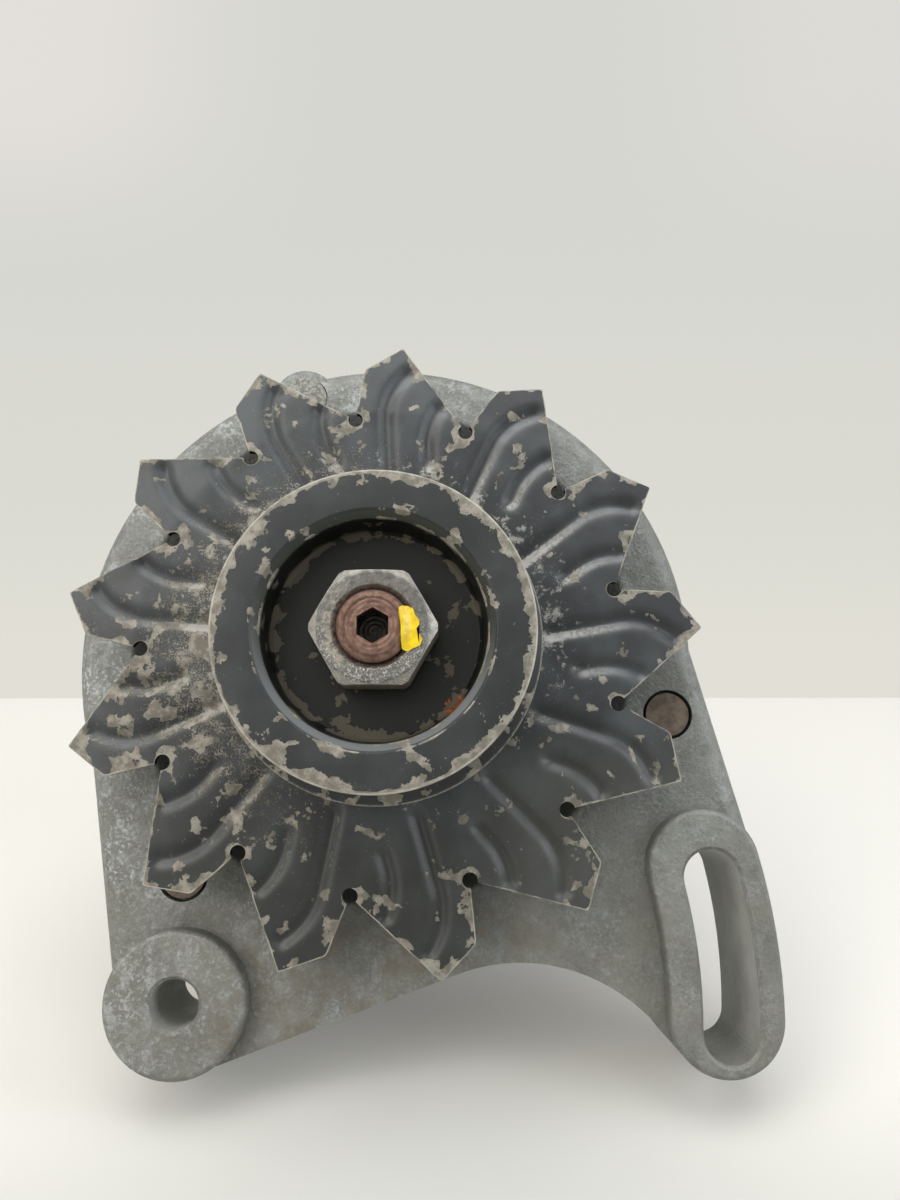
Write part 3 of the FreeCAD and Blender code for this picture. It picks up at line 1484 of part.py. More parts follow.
def export(names):
    """Check every object, then write each sub-part to a file of its own."""
    document.recompute()
    for item in document.Objects:
        if "Invalid" in item.State or "Error" in item.State:
            raise RuntimeError(f"{item.Label} failed: {item.State}")
    os.makedirs("parts", exist_ok=True)
    for item in names:
        shape = item.Shape
        if shape.isNull() or not shape.isValid():
            raise RuntimeError(f"{item.Label} has no valid shape")
        shape.exportStep(f"parts/{item.Label}.step")


export([
    pulley(), rotor_shaft(), pulley_nut(), nut_washer(), cooling_fan(), fan_spacer(),
    *front_bearing(), *rear_bearing(),
    drive_end_bracket(), bearing_retainer(), retainer_screws(),
    stator_core(), stator_winding(),
    claw_pole("front_claw_pole", True), claw_pole("rear_claw_pole", False),
    *rotor_core_pieces(), *slip_ring_pieces(),
    slip_ring_end_bracket(), through_bolts(), through_bolt_nuts(),
    heat_sink("negative_heat_sink", negative_front), heat_sink("positive_heat_sink", positive_front),
    diodes("negative_diodes", negative_front, size.negative_diode_angle, True),
    diodes("positive_diodes", positive_front, size.positive_diode_angle, False),
    *rectifier_fixings(), *battery_terminal(),
    brush_holder(), brush("front_brush", first_ring), brush("rear_brush", second_ring),
    brush_spring("front_brush_spring", first_ring), brush_spring("rear_brush_spring", second_ring),
    *holder_fixings(),
])
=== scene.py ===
"""The looks of an engine alternator: worn painted fan and pulley, steel nut and cast brackets."""

from __future__ import annotations

import json
import logging
import math
from dataclasses import dataclass
from enum import Enum
from functools import cached_property
from typing import Iterable, Sequence

import bmesh
import bpy
import numpy as np
from mathutils import Matrix, Vector
from mathutils.geometry import delaunay_2d_cdt

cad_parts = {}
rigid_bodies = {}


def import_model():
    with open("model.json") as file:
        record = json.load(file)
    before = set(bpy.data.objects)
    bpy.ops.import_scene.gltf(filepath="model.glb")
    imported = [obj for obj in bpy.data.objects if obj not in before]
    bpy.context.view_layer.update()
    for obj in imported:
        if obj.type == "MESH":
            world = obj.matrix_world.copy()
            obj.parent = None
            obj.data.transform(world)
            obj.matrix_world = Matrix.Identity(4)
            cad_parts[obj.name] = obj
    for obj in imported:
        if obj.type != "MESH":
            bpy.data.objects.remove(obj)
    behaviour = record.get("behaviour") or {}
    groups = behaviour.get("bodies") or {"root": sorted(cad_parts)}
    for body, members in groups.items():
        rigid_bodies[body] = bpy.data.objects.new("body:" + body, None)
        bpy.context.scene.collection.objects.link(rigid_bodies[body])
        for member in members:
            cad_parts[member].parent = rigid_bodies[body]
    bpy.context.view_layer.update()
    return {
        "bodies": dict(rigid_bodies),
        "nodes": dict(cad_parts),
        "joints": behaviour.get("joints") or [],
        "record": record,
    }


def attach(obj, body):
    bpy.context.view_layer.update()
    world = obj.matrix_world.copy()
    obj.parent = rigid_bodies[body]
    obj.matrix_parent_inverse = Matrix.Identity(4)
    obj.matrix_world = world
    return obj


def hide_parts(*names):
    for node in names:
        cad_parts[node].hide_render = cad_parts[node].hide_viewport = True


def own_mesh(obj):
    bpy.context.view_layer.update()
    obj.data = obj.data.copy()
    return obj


LOG = logging.getLogger("scene")
MM = 0.001
Point = tuple[float, float]


class Slot(str, Enum):
    """The record's material slots."""

    PAINT = "slate_paint"
    CASTING = "cast_aluminium"
    STEEL = "bare_steel"
    RUST = "rusty_steel"
    BEARING = "bearing_steel"
    LAMINATED = "laminated_steel"
    POLE = "pole_iron"
    WIRE = "copper_winding"
    RING = "ring_copper"
    BLACK = "black_plastic"
    BROWN = "brown_plastic"
    SEAL = "seal_rubber"
    BRUSH = "carbon"
    SINK = "sink_aluminium"
    BRASS = "terminal_brass"


class Coat(Enum):
    """The two painted pieces, which are worn in different places."""

    FAN = 1
    PULLEY = 2


def linear(colour: str) -> tuple[float, float, float, float]:
    """Turn an sRGB hex colour into linear values.

    Args:
        colour: Six hexadecimal digits after a hash sign.

    Returns:
        Red, green, blue and an alpha of one.
    """
    values = [int(colour[index:index + 2], 16) / 255 for index in (1, 3, 5)]
    red, green, blue = (v / 12.92 if v <= 0.04045 else ((v + 0.055) / 1.055) ** 2.4 for v in values)
    return red, green, blue, 1.0


def polar(radius: float, degrees: float) -> Point:
    """A point across and up from the shaft axis.

    Args:
        radius: Distance from the axis.
        degrees: Angle above +X.

    Returns:
        The point's place across and up.
    """
    angle = math.radians(degrees)
    return radius * math.cos(angle), radius * math.sin(angle)


@dataclass(frozen=True)
class Signal:
    """One output of a node tree, on which plain arithmetic works."""

    nodes: Nodes
    socket: bpy.types.NodeSocket

    def beside(self, output: str) -> Signal:
        """Another output of the same node."""
        return Signal(self.nodes, self.socket.node.outputs[output])

    def fade(self, low: float, high: float, start: float = 0.0, end: float = 1.0) -> Signal:
        """Map a range smoothly to another range, held beyond its ends.

        Args:
            low: Value that gives start.
            high: Value that gives end.
            start: Result at low.
            end: Result at high.

        Returns:
            The mapped value.
        """
        links = {"Value": self, "From Min": low, "From Max": high, "To Min": start, "To Max": end}
        return self.nodes.add("ShaderNodeMapRange", links, "Result", interpolation_type="SMOOTHSTEP",
                              clamp=True)

    def most(self, other: object) -> Signal:
        """The greater of this and another value."""
        return self.nodes.reckon("MAXIMUM", self, other)

    def __add__(self, other: object) -> Signal:
        """The sum."""
        return self.nodes.reckon("ADD", self, other)

    def __sub__(self, other: object) -> Signal:
        """The difference."""
        return self.nodes.reckon("SUBTRACT", self, other)

    def __mul__(self, other: object) -> Signal:
        """The product."""
        return self.nodes.reckon("MULTIPLY", self, other)

    def __abs__(self) -> Signal:
        """The value without its sign."""
        return self.nodes.reckon("ABSOLUTE", self)


class Nodes:
    """A node tree, built up through short calls."""

    def __init__(self, tree: bpy.types.NodeTree) -> None:
        """Keep the tree."""
        self.tree = tree

    def add(self, kind: str, links: dict[str | int, object] | None = None, output: str | int = 0,
            **settings: object) -> Signal:
        """Add a node with its settings and links.

        Args:
            kind: The node's type.
            links: What each input gets: a signal, a number, or a colour as sRGB hex.
            output: The output that the node is wanted for.
            **settings: Properties of the node.

        Returns:
            The wanted output.
        """
        node = self.tree.nodes.new(kind)
        for key, value in settings.items():
            setattr(node, key, value)
        self.link(node, links or {})
        return Signal(self, node.outputs[output])

    def link(self, node: bpy.types.Node, links: dict[str | int, object]) -> None:
        """Give a node's inputs their signals and plain values.

        Args:
            node: The node.
            links: What each input gets: a signal, a number, or a colour as sRGB hex.
        """
        for key, value in links.items():
            if isinstance(value, Signal):
                self.tree.links.new(value.socket, node.inputs[key])
            else:
                node.inputs[key].default_value = linear(value) if isinstance(value, str) else value

    def own(self, name: str) -> bpy.types.Node:
        """A node that the tree has from the start."""
        return self.tree.nodes[name]

    def reckon(self, operation: str, *values: object, clamp: bool = False) -> Signal:
        """Work out a value from one or two others.

        Args:
            operation: What is done with them.
            *values: Numbers or signals.
            clamp: Keep the result between 0 and 1.

        Returns:
            The result.
        """
        return self.add("ShaderNodeMath", dict(enumerate(values)), operation=operation, use_clamp=clamp)


class Shade(Nodes):
    """One node-based material."""

    def __init__(self, name: str) -> None:
        """Start a material with a Principled shader.

        Args:
            name: The material's name.
        """
        self.material = bpy.data.materials.new(name)
        self.material.use_nodes = True
        super().__init__(self.material.node_tree)

    @cached_property
    def place(self) -> Signal:
        """The surface's place in millimetres, as a vector."""
        coordinates = self.add("ShaderNodeTexCoord", output="Object")
        return self.add("ShaderNodeVectorMath", {0: coordinates, "Scale": 1 / MM}, operation="SCALE")

    @cached_property
    def axes(self) -> tuple[Signal, Signal, Signal]:
        """The surface's place across, along the shaft and up, in millimetres."""
        across = self.add("ShaderNodeSeparateXYZ", {0: self.place}, "X")
        return across, across.beside("Y"), across.beside("Z")

    def pattern(self, size: float, octaves: float = 3.0, rough: float = 0.55, bend: float = 0.0) -> Signal:
        """Random patches of a real size.

        Args:
            size: The patches' typical size in millimetres.
            octaves: How many finer patterns are laid over the first.
            rough: Strength of the finer patterns.
            bend: How far the pattern is bent by itself.

        Returns:
            A value between 0 and 1.
        """
        links = {"Vector": self.place, "Scale": 1.0 / size, "Detail": octaves, "Roughness": rough,
                 "Distortion": bend}
        return self.add("ShaderNodeTexNoise", links, "Fac")

    def stored(self, name: str) -> Signal:
        """A value stored on the mesh's points."""
        return self.add("ShaderNodeAttribute", output="Fac", attribute_name=name)

    def over(self, share: object, under: object, upper: object) -> Signal:
        """Lay one colour over another.

        Args:
            share: How much of the upper one covers, between 0 and 1.
            under: Colour or signal below.
            upper: Colour or signal on top.

        Returns:
            The mixed colour.
        """
        return self.add("ShaderNodeMix", {0: share, 6: under, 7: upper}, 2, data_type="RGBA")

    def radius(self, across: Signal, up: Signal) -> Signal:
        """The distance from the axis that both are measured from, in millimetres."""
        return self.reckon("SQRT", across * across + up * up)

    def facing(self) -> tuple[Signal, Signal]:
        """Which way the surface faces.

        Returns:
            A signal of 1 on walls along the shaft and 0 on faces square to it, and one that rises
            from -1 on faces that look down to 1 on those that look up.
        """
        normal = self.add("ShaderNodeNewGeometry", output="True Normal")
        along = self.add("ShaderNodeSeparateXYZ", {0: normal}, "Y")
        return abs(along).fade(0.6, 0.4), along.beside("Z")

    def relief(self, height: object, depth: float, below: Signal | None = None) -> Signal:
        """Raise the surface by a pattern.

        Args:
            height: The pattern, between 0 and 1.
            depth: Height of the pattern in millimetres.
            below: An earlier relief to add to.

        Returns:
            The surface's new normal.
        """
        links = {"Strength": 1.0, "Distance": depth * MM, "Height": height}
        if below is not None:
            links["Normal"] = below
        return self.add("ShaderNodeBump", links)

    def finish(self, colour: object, rough: object, metal: object, normal: Signal | None = None,
               gloss: float = 0.5) -> bpy.types.Material:
        """Set the shader's inputs.

        Args:
            colour: Colour or signal.
            rough: Roughness or signal.
            metal: Metallic share or signal.
            normal: The surface's normal.
            gloss: Strength of a painted surface's reflection.

        Returns:
            The finished material.
        """
        links = {"Base Color": colour, "Roughness": rough, "Metallic": metal, "Specular IOR Level": gloss}
        if normal is not None:
            links["Normal"] = normal
        self.link(self.own("Principled BSDF"), links)
        return self.material


@dataclass(frozen=True)
class PlainFinish:
    """A mottled one-coat finish for pieces that need no wear map of their own."""

    name: str
    colour: str
    second: str
    rough: float
    metal: float
    patch: float = 6.0
    grain: float = 0.4
    depth: float = 0.03

    def make(self) -> bpy.types.Material:
        """Build the material.

        Returns:
            The new material.
        """
        shade = Shade(self.name)
        # patches a few millimetres wide, under a fine grain
        patches = shade.pattern(self.patch, 4.0, 0.6).fade(0.38, 0.66)
        grain = shade.pattern(self.grain, 2.0)
        colour = shade.over(patches, self.colour, self.second)
        colour = shade.over(grain.fade(0.55, 0.8, 0.0, 0.35), colour, self.second)
        rough = grain.fade(0.3, 0.7, self.rough - 0.06, self.rough + 0.08)
        return shade.finish(colour, rough, self.metal, shade.relief(grain, self.depth))


@dataclass(frozen=True)
class ChippedPaint:
    """Slate paint, chipped to bare metal in angular patches and rubbed along edges."""

    name: str
    coat: Coat
    paint: str = "#262829"
    faded: str = "#36393a"
    bare: str = "#8e8a80"
    dull: str = "#6c685e"
    oxide: str = "#9b9a94"
    # chalked paint reflects less than fresh
    gloss: float = 0.34

    def make(self) -> bpy.types.Material:
        """Build the material.

        Returns:
            The new material.
        """
        shade = Shade(self.name)
        # chips 3 to 6 mm wide, with ragged rims of about a millimetre
        ragged = shade.pattern(1.0, 3.0, 0.6)
        chips = shade.pattern(4.6, 3.0, 0.45, 0.3) + (ragged - 0.5) * 0.24
        # speckle from 0.2 to 1 mm, gathered in drifts of about 3 mm
        drift = shade.pattern(2.8, 3.0, 0.6) - 0.5
        speckle = shade.pattern(0.42, 4.0, 0.7) + drift * 0.55
        tone = shade.over(shade.pattern(14.0).fade(0.35, 0.7), self.paint, self.faded)
        tone = shade.over(shade.pattern(0.35, 2.0).fade(0.6, 0.85, 0.0, 0.3), tone, "#24262a")
        metal = shade.over(shade.pattern(2.0, 4.0, 0.6).fade(0.38, 0.62), self.bare, self.dull)
        metal = shade.over(shade.pattern(0.5, 2.0).fade(0.55, 0.75, 0.0, 0.5), metal, "#5f5a51")
        if self.coat is Coat.FAN:
            bias, dust, frost = self._fan_wear(shade)
            tone = self._fan_painted_light_and_dust(shade, tone)
        else:
            bias, dust, frost = self._pulley_wear(shade)
            tone, metal = self._recess(shade, ragged, tone, metal)
        chip = (chips + bias).fade(0.648, 0.660)
        worn = chip.most((speckle + dust).fade(0.69, 0.80))
        colour = shade.over(worn, tone, metal)
        # pale oxide dust in the same drifts
        cloud = shade.pattern(2.6, 6.0, 0.78)
        colour = shade.over((cloud + frost).fade(0.57, 0.67, 0.0, 0.8), colour, self.oxide)
        if self.coat is Coat.FAN:
            colour = self._fan_edges(shade, colour)
        height = worn * -0.9 + speckle * 0.3
        metallic = worn.fade(0.0, 1.0, 0.0, 0.3)
        return shade.finish(colour, worn.fade(0.0, 1.0, 0.40, 0.6), metallic, shade.relief(height, 0.08),
                            self.gloss)

    @staticmethod
    def _fan_painted_light_and_dust(shade: Shade, tone: Signal) -> Signal:
        """Lay painted shade, a painted sheen, a paler tone and pale dust over the fan's paint.

        Args:
            shade: The material being built.
            tone: The paint's colour.

        Returns:
            The changed colour.
        """
        across, _, up = shade.axes
        # painted shade: the lower blades are darkened, most towards the bottom centre and left
        lower_blade_tone = up.fade(-24.0, -50.0, 0.0, 0.6) * across.fade(32.0, 8.0)
        tone = shade.over(lower_blade_tone, tone, "#292a25")
        # the lower right blades are made paler
        lower_blade_tone = up.fade(-14.0, -34.0, 0.0, 0.4) * across.fade(14.0, 34.0)
        tone = shade.over(lower_blade_tone, tone, "#4c4c45")
        # painted sheen: a smooth pale highlight lies along the rib walls that face up, weaker towards the
        # bottom
        film = shade.stored("dust").fade(0.18, 0.6) * up.fade(-60.0, 20.0, 0.25, 0.55)
        film = film * shade.pattern(4.0).fade(0.3, 0.6, 0.6, 1.0)
        tone = shade.over(film, tone, "#85888a")
        # it is thick and white next to the pulley on the upper blades
        thick = shade.stored("dust").fade(0.22, 0.5) * shade.radius(across, up).fade(56.0, 42.0)
        thick = thick * up.fade(-20.0, 8.0, 0.1, 0.8)
        thick = thick * shade.pattern(0.9, 4.0, 0.7).fade(0.36, 0.56, 0.15, 1.0)
        return shade.over(thick, tone, "#a3a19b")

    @staticmethod
    def _fan_edges(shade: Shade, colour: Signal) -> Signal:
        """Brighten the fan's cut edges and paint shade on the upper walls of its relief holes.

        Args:
            shade: The material being built.
            colour: The fan's colour.

        Returns:
            The changed colour.
        """
        across, _, up = shade.axes
        radius = shade.radius(across, up)
        # a thin pale line is painted along the sheet's cut edges
        line = shade.stored("edge_mm").fade(0.32, 0.10) * radius.fade(55.2, 56.2)
        line = line * shade.pattern(5.0).fade(0.40, 0.60, 0.10, 0.75)
        colour = shade.over(line, colour, "#a9a69b")
        # painted shade: the upper walls of the relief holes between the blades, which face down, are
        # darkened
        wall, upward = shade.facing()
        hole = wall * radius.fade(55.2, 54.2) * upward.fade(0.5, 0.1)
        return shade.over(hole, colour, "#191917")

    @staticmethod
    def _fan_wear(shade: Shade) -> tuple[Signal, Signal, Signal]:
        """Where the fan's paint is chipped and where it is dusty.

        Args:
            shade: The material being built.

        Returns:
            The bias of the chips, of the speckle and of the pale oxide.
        """
        across, _, up = shade.axes
        radius = shade.radius(across, up)
        gap = shade.stored("edge_mm")
        edge = gap.fade(0.3, 2.6, 1.0, 0.0) * 0.13
        cut = gap.fade(0.0, 0.4, 1.0, 0.0) * 0.14
        inner = radius.fade(38.0, 56.0, 1.0, 0.0)
        # the side that stood lower in use is worn the most
        side = across * -0.86 + up * 0.18
        worst = side.fade(22.0, 42.0) * up.fade(20.0, 8.0)
        side = side.fade(-18.0, 40.0)
        top = shade.stored("dust").fade(0.12, 0.55) * radius.fade(62.0, 44.0)
        rubbed = inner * (side * 0.19 + 0.02)
        bias = edge + cut + rubbed * 0.35 + worst * 0.045
        streak = top * (side * 0.12 + 0.10)
        dust = rubbed + streak + side * 0.035 + worst * 0.05
        # oxide gathers near the pulley on the upper blades, most on the rib walls that face up
        near = radius.fade(50.0, 35.0) * up.fade(-28.0, 8.0, 0.2, 1.0)
        near = near * radius.fade(24.0, 33.0, 0.2, 1.0)
        frost = near * (top * 0.12 + 0.155) + streak * 0.5
        return bias, dust, frost - 0.08

    @staticmethod
    def _pulley_wear(shade: Shade) -> tuple[Signal, Signal, float]:
        """Where the pulley's paint is chipped and where it is dusty.

        Args:
            shade: The material being built.

        Returns:
            The bias of the chips, of the speckle and of the pale oxide.
        """
        across, along, up = shade.axes
        radius = shade.radius(across, up)
        # the front rim is worn, most at its outer edge
        outer = radius.fade(27.8, 31.0) * 0.20
        edge = radius.fade(30.5, 31.1) * 0.264
        mouth = radius.fade(22.6, 23.6) * radius.fade(26.0, 24.0) * 0.06
        bias = (outer + edge + mouth) * along.fade(-5.6, -6.6)
        # the corner between the recess's wall and floor has lost its paint
        floor = along.fade(0.6, 2.0) * radius.fade(17.6, 20.6)
        floor = floor * across.fade(14.0, 4.0, 0.45, 1.0).most(up.fade(-8.0, -15.0, 0.45, 1.0))
        bias = bias + floor * 0.2
        # the rear flange is worn at its rim only
        rear = along.fade(5.4, 6.2) * radius.fade(32.6, 33.6)
        behind = along.fade(0.0, 2.0) * radius.fade(24.6, 26.0)
        bias = bias + rear * 0.04 - behind * 0.09
        # the recess's lip is rubbed to a thin bright line
        lip = radius.fade(22.5, 22.2) * radius.fade(21.75, 21.95)
        lip = lip * along.fade(-4.6, -5.3)
        # a painted highlight, laid as bare metal, marks the outer edge of its mouth on the lower half,
        # where that edge faces up
        ring = radius.fade(24.05, 23.85) * radius.fade(23.45, 23.6)
        ring = ring * up.fade(0.0, -12.0, 0.0, 0.9)
        lip = lip.most(ring * along.fade(-5.9, -6.6))
        bias = bias + lip * 0.13
        return bias, bias * 0.45, -0.2

    @staticmethod
    def _recess(shade: Shade, ragged: Signal, tone: Signal, metal: Signal) -> tuple[Signal, Signal]:
        """Darken the pulley's deep recess and add its one rust spot.

        Args:
            shade: The material being built.
            ragged: The finest pattern.
            tone: The paint's colour.
            metal: The bare metal's colour.

        Returns:
            The changed paint and metal colours.
        """
        across, along, up = shade.axes
        radius = shade.radius(across, up)
        # painted light and shade: the mouth's chamfer is grey-green where it faces down and pale grey
        # where it faces up
        mouth = along.fade(-7.3, -6.9) * radius.fade(24.4, 24.0)
        _, upward = shade.facing()
        tone = shade.over(mouth, tone, shade.over(upward.fade(-0.1, 0.5), "#30332d", "#626566"))
        # painted shade darkens the belt groove
        groove = along.fade(-4.9, -4.3) * along.fade(6.0, 5.4)
        groove = groove * radius.fade(24.6, 25.2) * radius.fade(33.6, 33.2)
        tone = shade.over(groove * 0.65, tone, "#191a18")
        # painted highlight: a pale ragged line along the rear flange's lit rim
        brim_highlight = radius.fade(33.25, 33.55) * along.fade(6.6, 6.1)
        tone = shade.over(brim_highlight * ragged.fade(0.35, 0.55, 0.3, 0.8), tone, "#85837a")
        # the rim's edge is rubbed bare, and its bare metal carries a thin painted highlight
        edge = radius.fade(30.9, 31.2) * along.fade(-6.2, -6.8)
        edge = edge * shade.pattern(7.0).fade(0.36, 0.58, 0.1, 0.6)
        metal = shade.over(edge, metal, "#bab7ae")
        deep = along.fade(-6.2, -4.4)
        inside = deep * radius.fade(24.0, 24.4, 1.0, 0.0)
        tone = shade.over(inside, tone, "#0f100e")
        metal = shade.over(inside, metal, "#555146")
        spot = shade.radius(across - 15.8, up + 14.6)
        spot = (spot * spot).fade(1.5, 11.0, 1.0, 0.0) * inside
        spot = (spot * ragged.fade(0.3, 0.7)).fade(0.2, 0.5)
        rust = shade.over(ragged.fade(0.45, 0.6), "#5a2f18", "#a65a22")
        return shade.over(spot, tone, rust), shade.over(spot, metal, rust)


@dataclass(frozen=True)
class CastMetal:
    """Blasted cast aluminium, frosted with pale oxide and stained, with painted light in its slot and
    painted shade in its corners and behind the fan.
    """

    name: str
    colour: str = "#7b7d79"
    dark: str = "#676863"
    pale: str = "#bcc1c3"
    pivot: Point = (-43.6, -75.1)
    pivot_bore: float = 5.4
    slot_reach: float = 118.0
    slot_half: float = 6.0
    # height of the slot's lower and upper end
    slot_ends: Point = (-87.6, -43.4)

    def make(self) -> bpy.types.Material:
        """Build the material.

        Returns:
            The new material.
        """
        shade = Shade(self.name)
        across, along, up = shade.axes
        broad = shade.pattern(18.0, 4.0, 0.6).fade(0.36, 0.66)
        # flecks of half a millimetre to two, in drifts of about a centimetre
        flecks = shade.pattern(0.9, 4.0, 0.68)
        blotch = shade.pattern(2.6, 3.0, 0.6)
        drift = shade.pattern(11.0).fade(0.36, 0.64)
        # the upper left is frosted the most
        frost = (up * 0.22 - across * 0.75).fade(-40.0, 52.0) + across.fade(-44.0, -62.0, 0.0, 0.25)
        amount = (drift * 0.6 + 0.25) * (frost * 0.62 + 0.32)
        colour = shade.over(broad, self.colour, self.dark)
        colour = shade.over(blotch.fade(0.48, 0.66) * amount * 0.5, colour, self.pale)
        colour = shade.over(flecks.fade(0.47, 0.68) * amount, colour, self.pale)
        pits = shade.pattern(0.5, 4.0, 0.65).fade(0.53, 0.70, 0.0, 0.6)
        colour = shade.over(pits, colour, "#50514d")
        # darker stains about half a centimetre wide
        stain = shade.pattern(5.0, 6.0, 0.7).fade(0.50, 0.64, 0.0, 0.38)
        colour = shade.over(stain, colour, "#54534c")
        # painted light and wear: the ear's slot walls, less where they face up, and the pivot bore's walls
        # are painted pale,
        # for light bounced off the table; the adjusting bolt has also rubbed the slot's walls
        away = shade.radius(across - self.pivot[0], up - self.pivot[1])
        reach = abs(away - self.slot_reach)
        wall, upward = shade.facing()
        rubbed = reach.fade(self.slot_half + 0.5, self.slot_half + 0.1) * wall
        rubbed = rubbed * upward.fade(0.8, 0.1, 0.2, 1.0)
        low, high = self.slot_ends
        rubbed = rubbed * up.fade(low - 0.5, low) * up.fade(high + 0.5, high) * across.fade(30.0, 45.0)
        rubbed = rubbed.most(wall * away.fade(self.pivot_bore + 0.5, self.pivot_bore))
        colour = shade.over(rubbed * 0.75, colour, "#c4c5bf")
        # brown stain where water has run off the fan
        rust = up.fade(-50.0, -64.0) * abs(across).fade(44.0, 26.0)
        rust = rust * shade.pattern(6.0, 5.0, 0.65).fade(0.42, 0.66, 0.0, 0.6)
        colour = shade.over(rust, colour, "#5a4a37")
        # warmer and a little darker towards the bottom
        low = up.fade(-20.0, -60.0) * shade.pattern(12.0).fade(0.3, 0.7)
        colour = shade.over(low * 0.45, colour, "#77756b")
        # painted shadow: the flat behind the fan, seen through the relief holes, is painted nearly black
        # where the fan shades it
        behind = shade.radius(across + 0.8, up - 2.0)
        behind = behind.fade(58.4, 56.6, 0.0, 0.95) * along.fade(36.0, 34.0)
        colour = shade.over(behind, colour, "#161614")
        # painted shade darkens corners less than 6 mm deep
        open_sky = shade.add("ShaderNodeAmbientOcclusion", {"Distance": 6.0 * MM}, "AO", samples=6)
        corner_shade = open_sky.fade(0.25, 0.75, 0.3, 0.0)
        colour = shade.over(corner_shade, colour, "#4b4c48")
        rough = flecks.fade(0.3, 0.7, 0.46, 0.62)
        grain = shade.pattern(1.6, 3.0, 0.6) * 0.7 + flecks
        return shade.finish(colour, rough, 0.35, shade.relief(grain, 0.22))


@dataclass(frozen=True)
class NutSteel:
    """Bare steel of the pulley nut, mottled grey, with pale scuffs below and rust round its bore."""

    name: str = "nut_steel"

    def make(self) -> bpy.types.Material:
        """Build the material.

        Returns:
            The new material.
        """
        shade = Shade(self.name)
        across, along, up = shade.axes
        radius = shade.radius(across, up)
        mottle = shade.pattern(1.8, 4.0, 0.65).fade(0.40, 0.62)
        colour = shade.over(mottle, "#6e6d68", "#54534f")
        # scuffs finer than half a millimetre, mostly on the lower half
        scuffs = shade.pattern(0.35, 4.0, 0.7).fade(0.50, 0.66)
        scuffs = scuffs * up.fade(4.0, -6.0, 0.12, 0.85)
        colour = shade.over(scuffs, colour, "#c4c3bf")
        colour = shade.over(radius.fade(10.7, 11.1, 0.0, 0.5), colour, "#98948b")
        colour = shade.over(along.fade(-8.2, -6.8, 0.0, 0.6), colour, "#7d7266")
        ring = radius.fade(8.6, 7.4) * shade.pattern(0.9).fade(0.36, 0.56)
        colour = shade.over(ring * 0.85, colour, "#634a3b")
        # pale grease has dried on the left of the bore
        grease = radius.fade(10.2, 9.2) * across.fade(-3.0, -7.0)
        grease = grease * shade.pattern(1.2, 4.0, 0.65).fade(0.42, 0.58, 0.0, 0.7)
        colour = shade.over(grease, colour, "#a39a8d")
        rough = mottle.fade(0.0, 1.0, 0.36, 0.52)
        return shade.finish(colour, rough, 0.6, shade.relief(shade.pattern(0.7, 4.0, 0.65), 0.12))


@dataclass(frozen=True)
class ShaftRust:
    """The shaft end: brown rust film in turned rings, darker and mottled inside the socket."""

    name: str = "shaft_rust"

    def make(self) -> bpy.types.Material:
        """Build the material.

        Returns:
            The new material.
        """
        shade = Shade(self.name)
        across, along, up = shade.axes
        radius = shade.radius(across, up)
        film = shade.pattern(1.4, 4.0, 0.6).fade(0.35, 0.66)
        colour = shade.over(film, "#7c5f51", "#5a4034")
        # turned rings 0.9 mm apart
        rings = shade.reckon("SINE", radius * (2 * math.pi / 0.9))
        colour = shade.over(rings.fade(0.1, 0.9, 0.0, 0.22), colour, "#3f2c24")
        groove = radius.fade(5.0, 5.25) * radius.fade(5.75, 5.5)
        colour = shade.over(groove * 0.55, colour, "#35251d")
        colour = shade.over(shade.pattern(0.4).fade(0.58, 0.76, 0.0, 0.5), colour, "#9c8272")
        mouth = radius.fade(6.7, 7.0)
        colour = shade.over(mouth * 0.8, colour, "#2e211a")
        inside = along.fade(-9.9, -8.4)
        socket = radius.fade(4.4, 3.5) * inside
        wet = shade.over(shade.pattern(0.7, 3.0, 0.6).fade(0.55, 0.66), "#221a14", "#5a4330")
        colour = shade.over(socket, colour, wet)
        bare = along.fade(12.0, 16.0)
        colour = shade.over(bare, colour, "#8f8f8c")
        normal = shade.relief(rings.fade(-1.0, 1.0), 0.05)
        normal = shade.relief(shade.pattern(0.6), 0.08, normal)
        rough = film.fade(0.0, 1.0, 0.42, 0.66) - socket * 0.2
        return shade.finish(colour, rough, 0.3, normal)


@dataclass(frozen=True)
class BoltRust:
    """Brown rust on the heads of the through bolts; the uppermost one is still silvery."""

    name: str = "bolt_rust"

    def make(self) -> bpy.types.Material:
        """Build the material.

        Returns:
            The new material.
        """
        shade = Shade(self.name)
        _, _, up = shade.axes
        film = shade.pattern(3.0, 4.0, 0.6).fade(0.36, 0.66)
        grain = shade.pattern(0.6)
        colour = shade.over(film, "#695c50", "#4c4239")
        silver = shade.over(grain.fade(0.45, 0.6), "#8e8e88", "#6d6d68")
        colour = shade.over(up.fade(40.0, 55.0), colour, silver)
        return shade.finish(colour, grain.fade(0.3, 0.7, 0.5, 0.68), 0.4, shade.relief(grain, 0.1))


@dataclass(frozen=True)
class Laminations:
    """The stator stack: thin varnished sheets seen edge on."""

    name: str = "laminations"

    def make(self) -> bpy.types.Material:
        """Build the material.

        Returns:
            The new material.
        """
        shade = Shade(self.name)
        _, along, _ = shade.axes
        # one sheet each 0.65 mm along the shaft
        sheet = shade.reckon("SINE", along * (2 * math.pi / 0.65))
        colour = shade.over(shade.pattern(7.0, 4.0).fade(0.4, 0.7), "#4a4b4c", "#5f4a3b")
        colour = shade.over(sheet.fade(-1.0, -0.2, 0.55, 0.0), colour, "#232323")
        return shade.finish(colour, 0.5, 0.6, shade.relief(sheet.fade(-1.0, 1.0), 0.12))


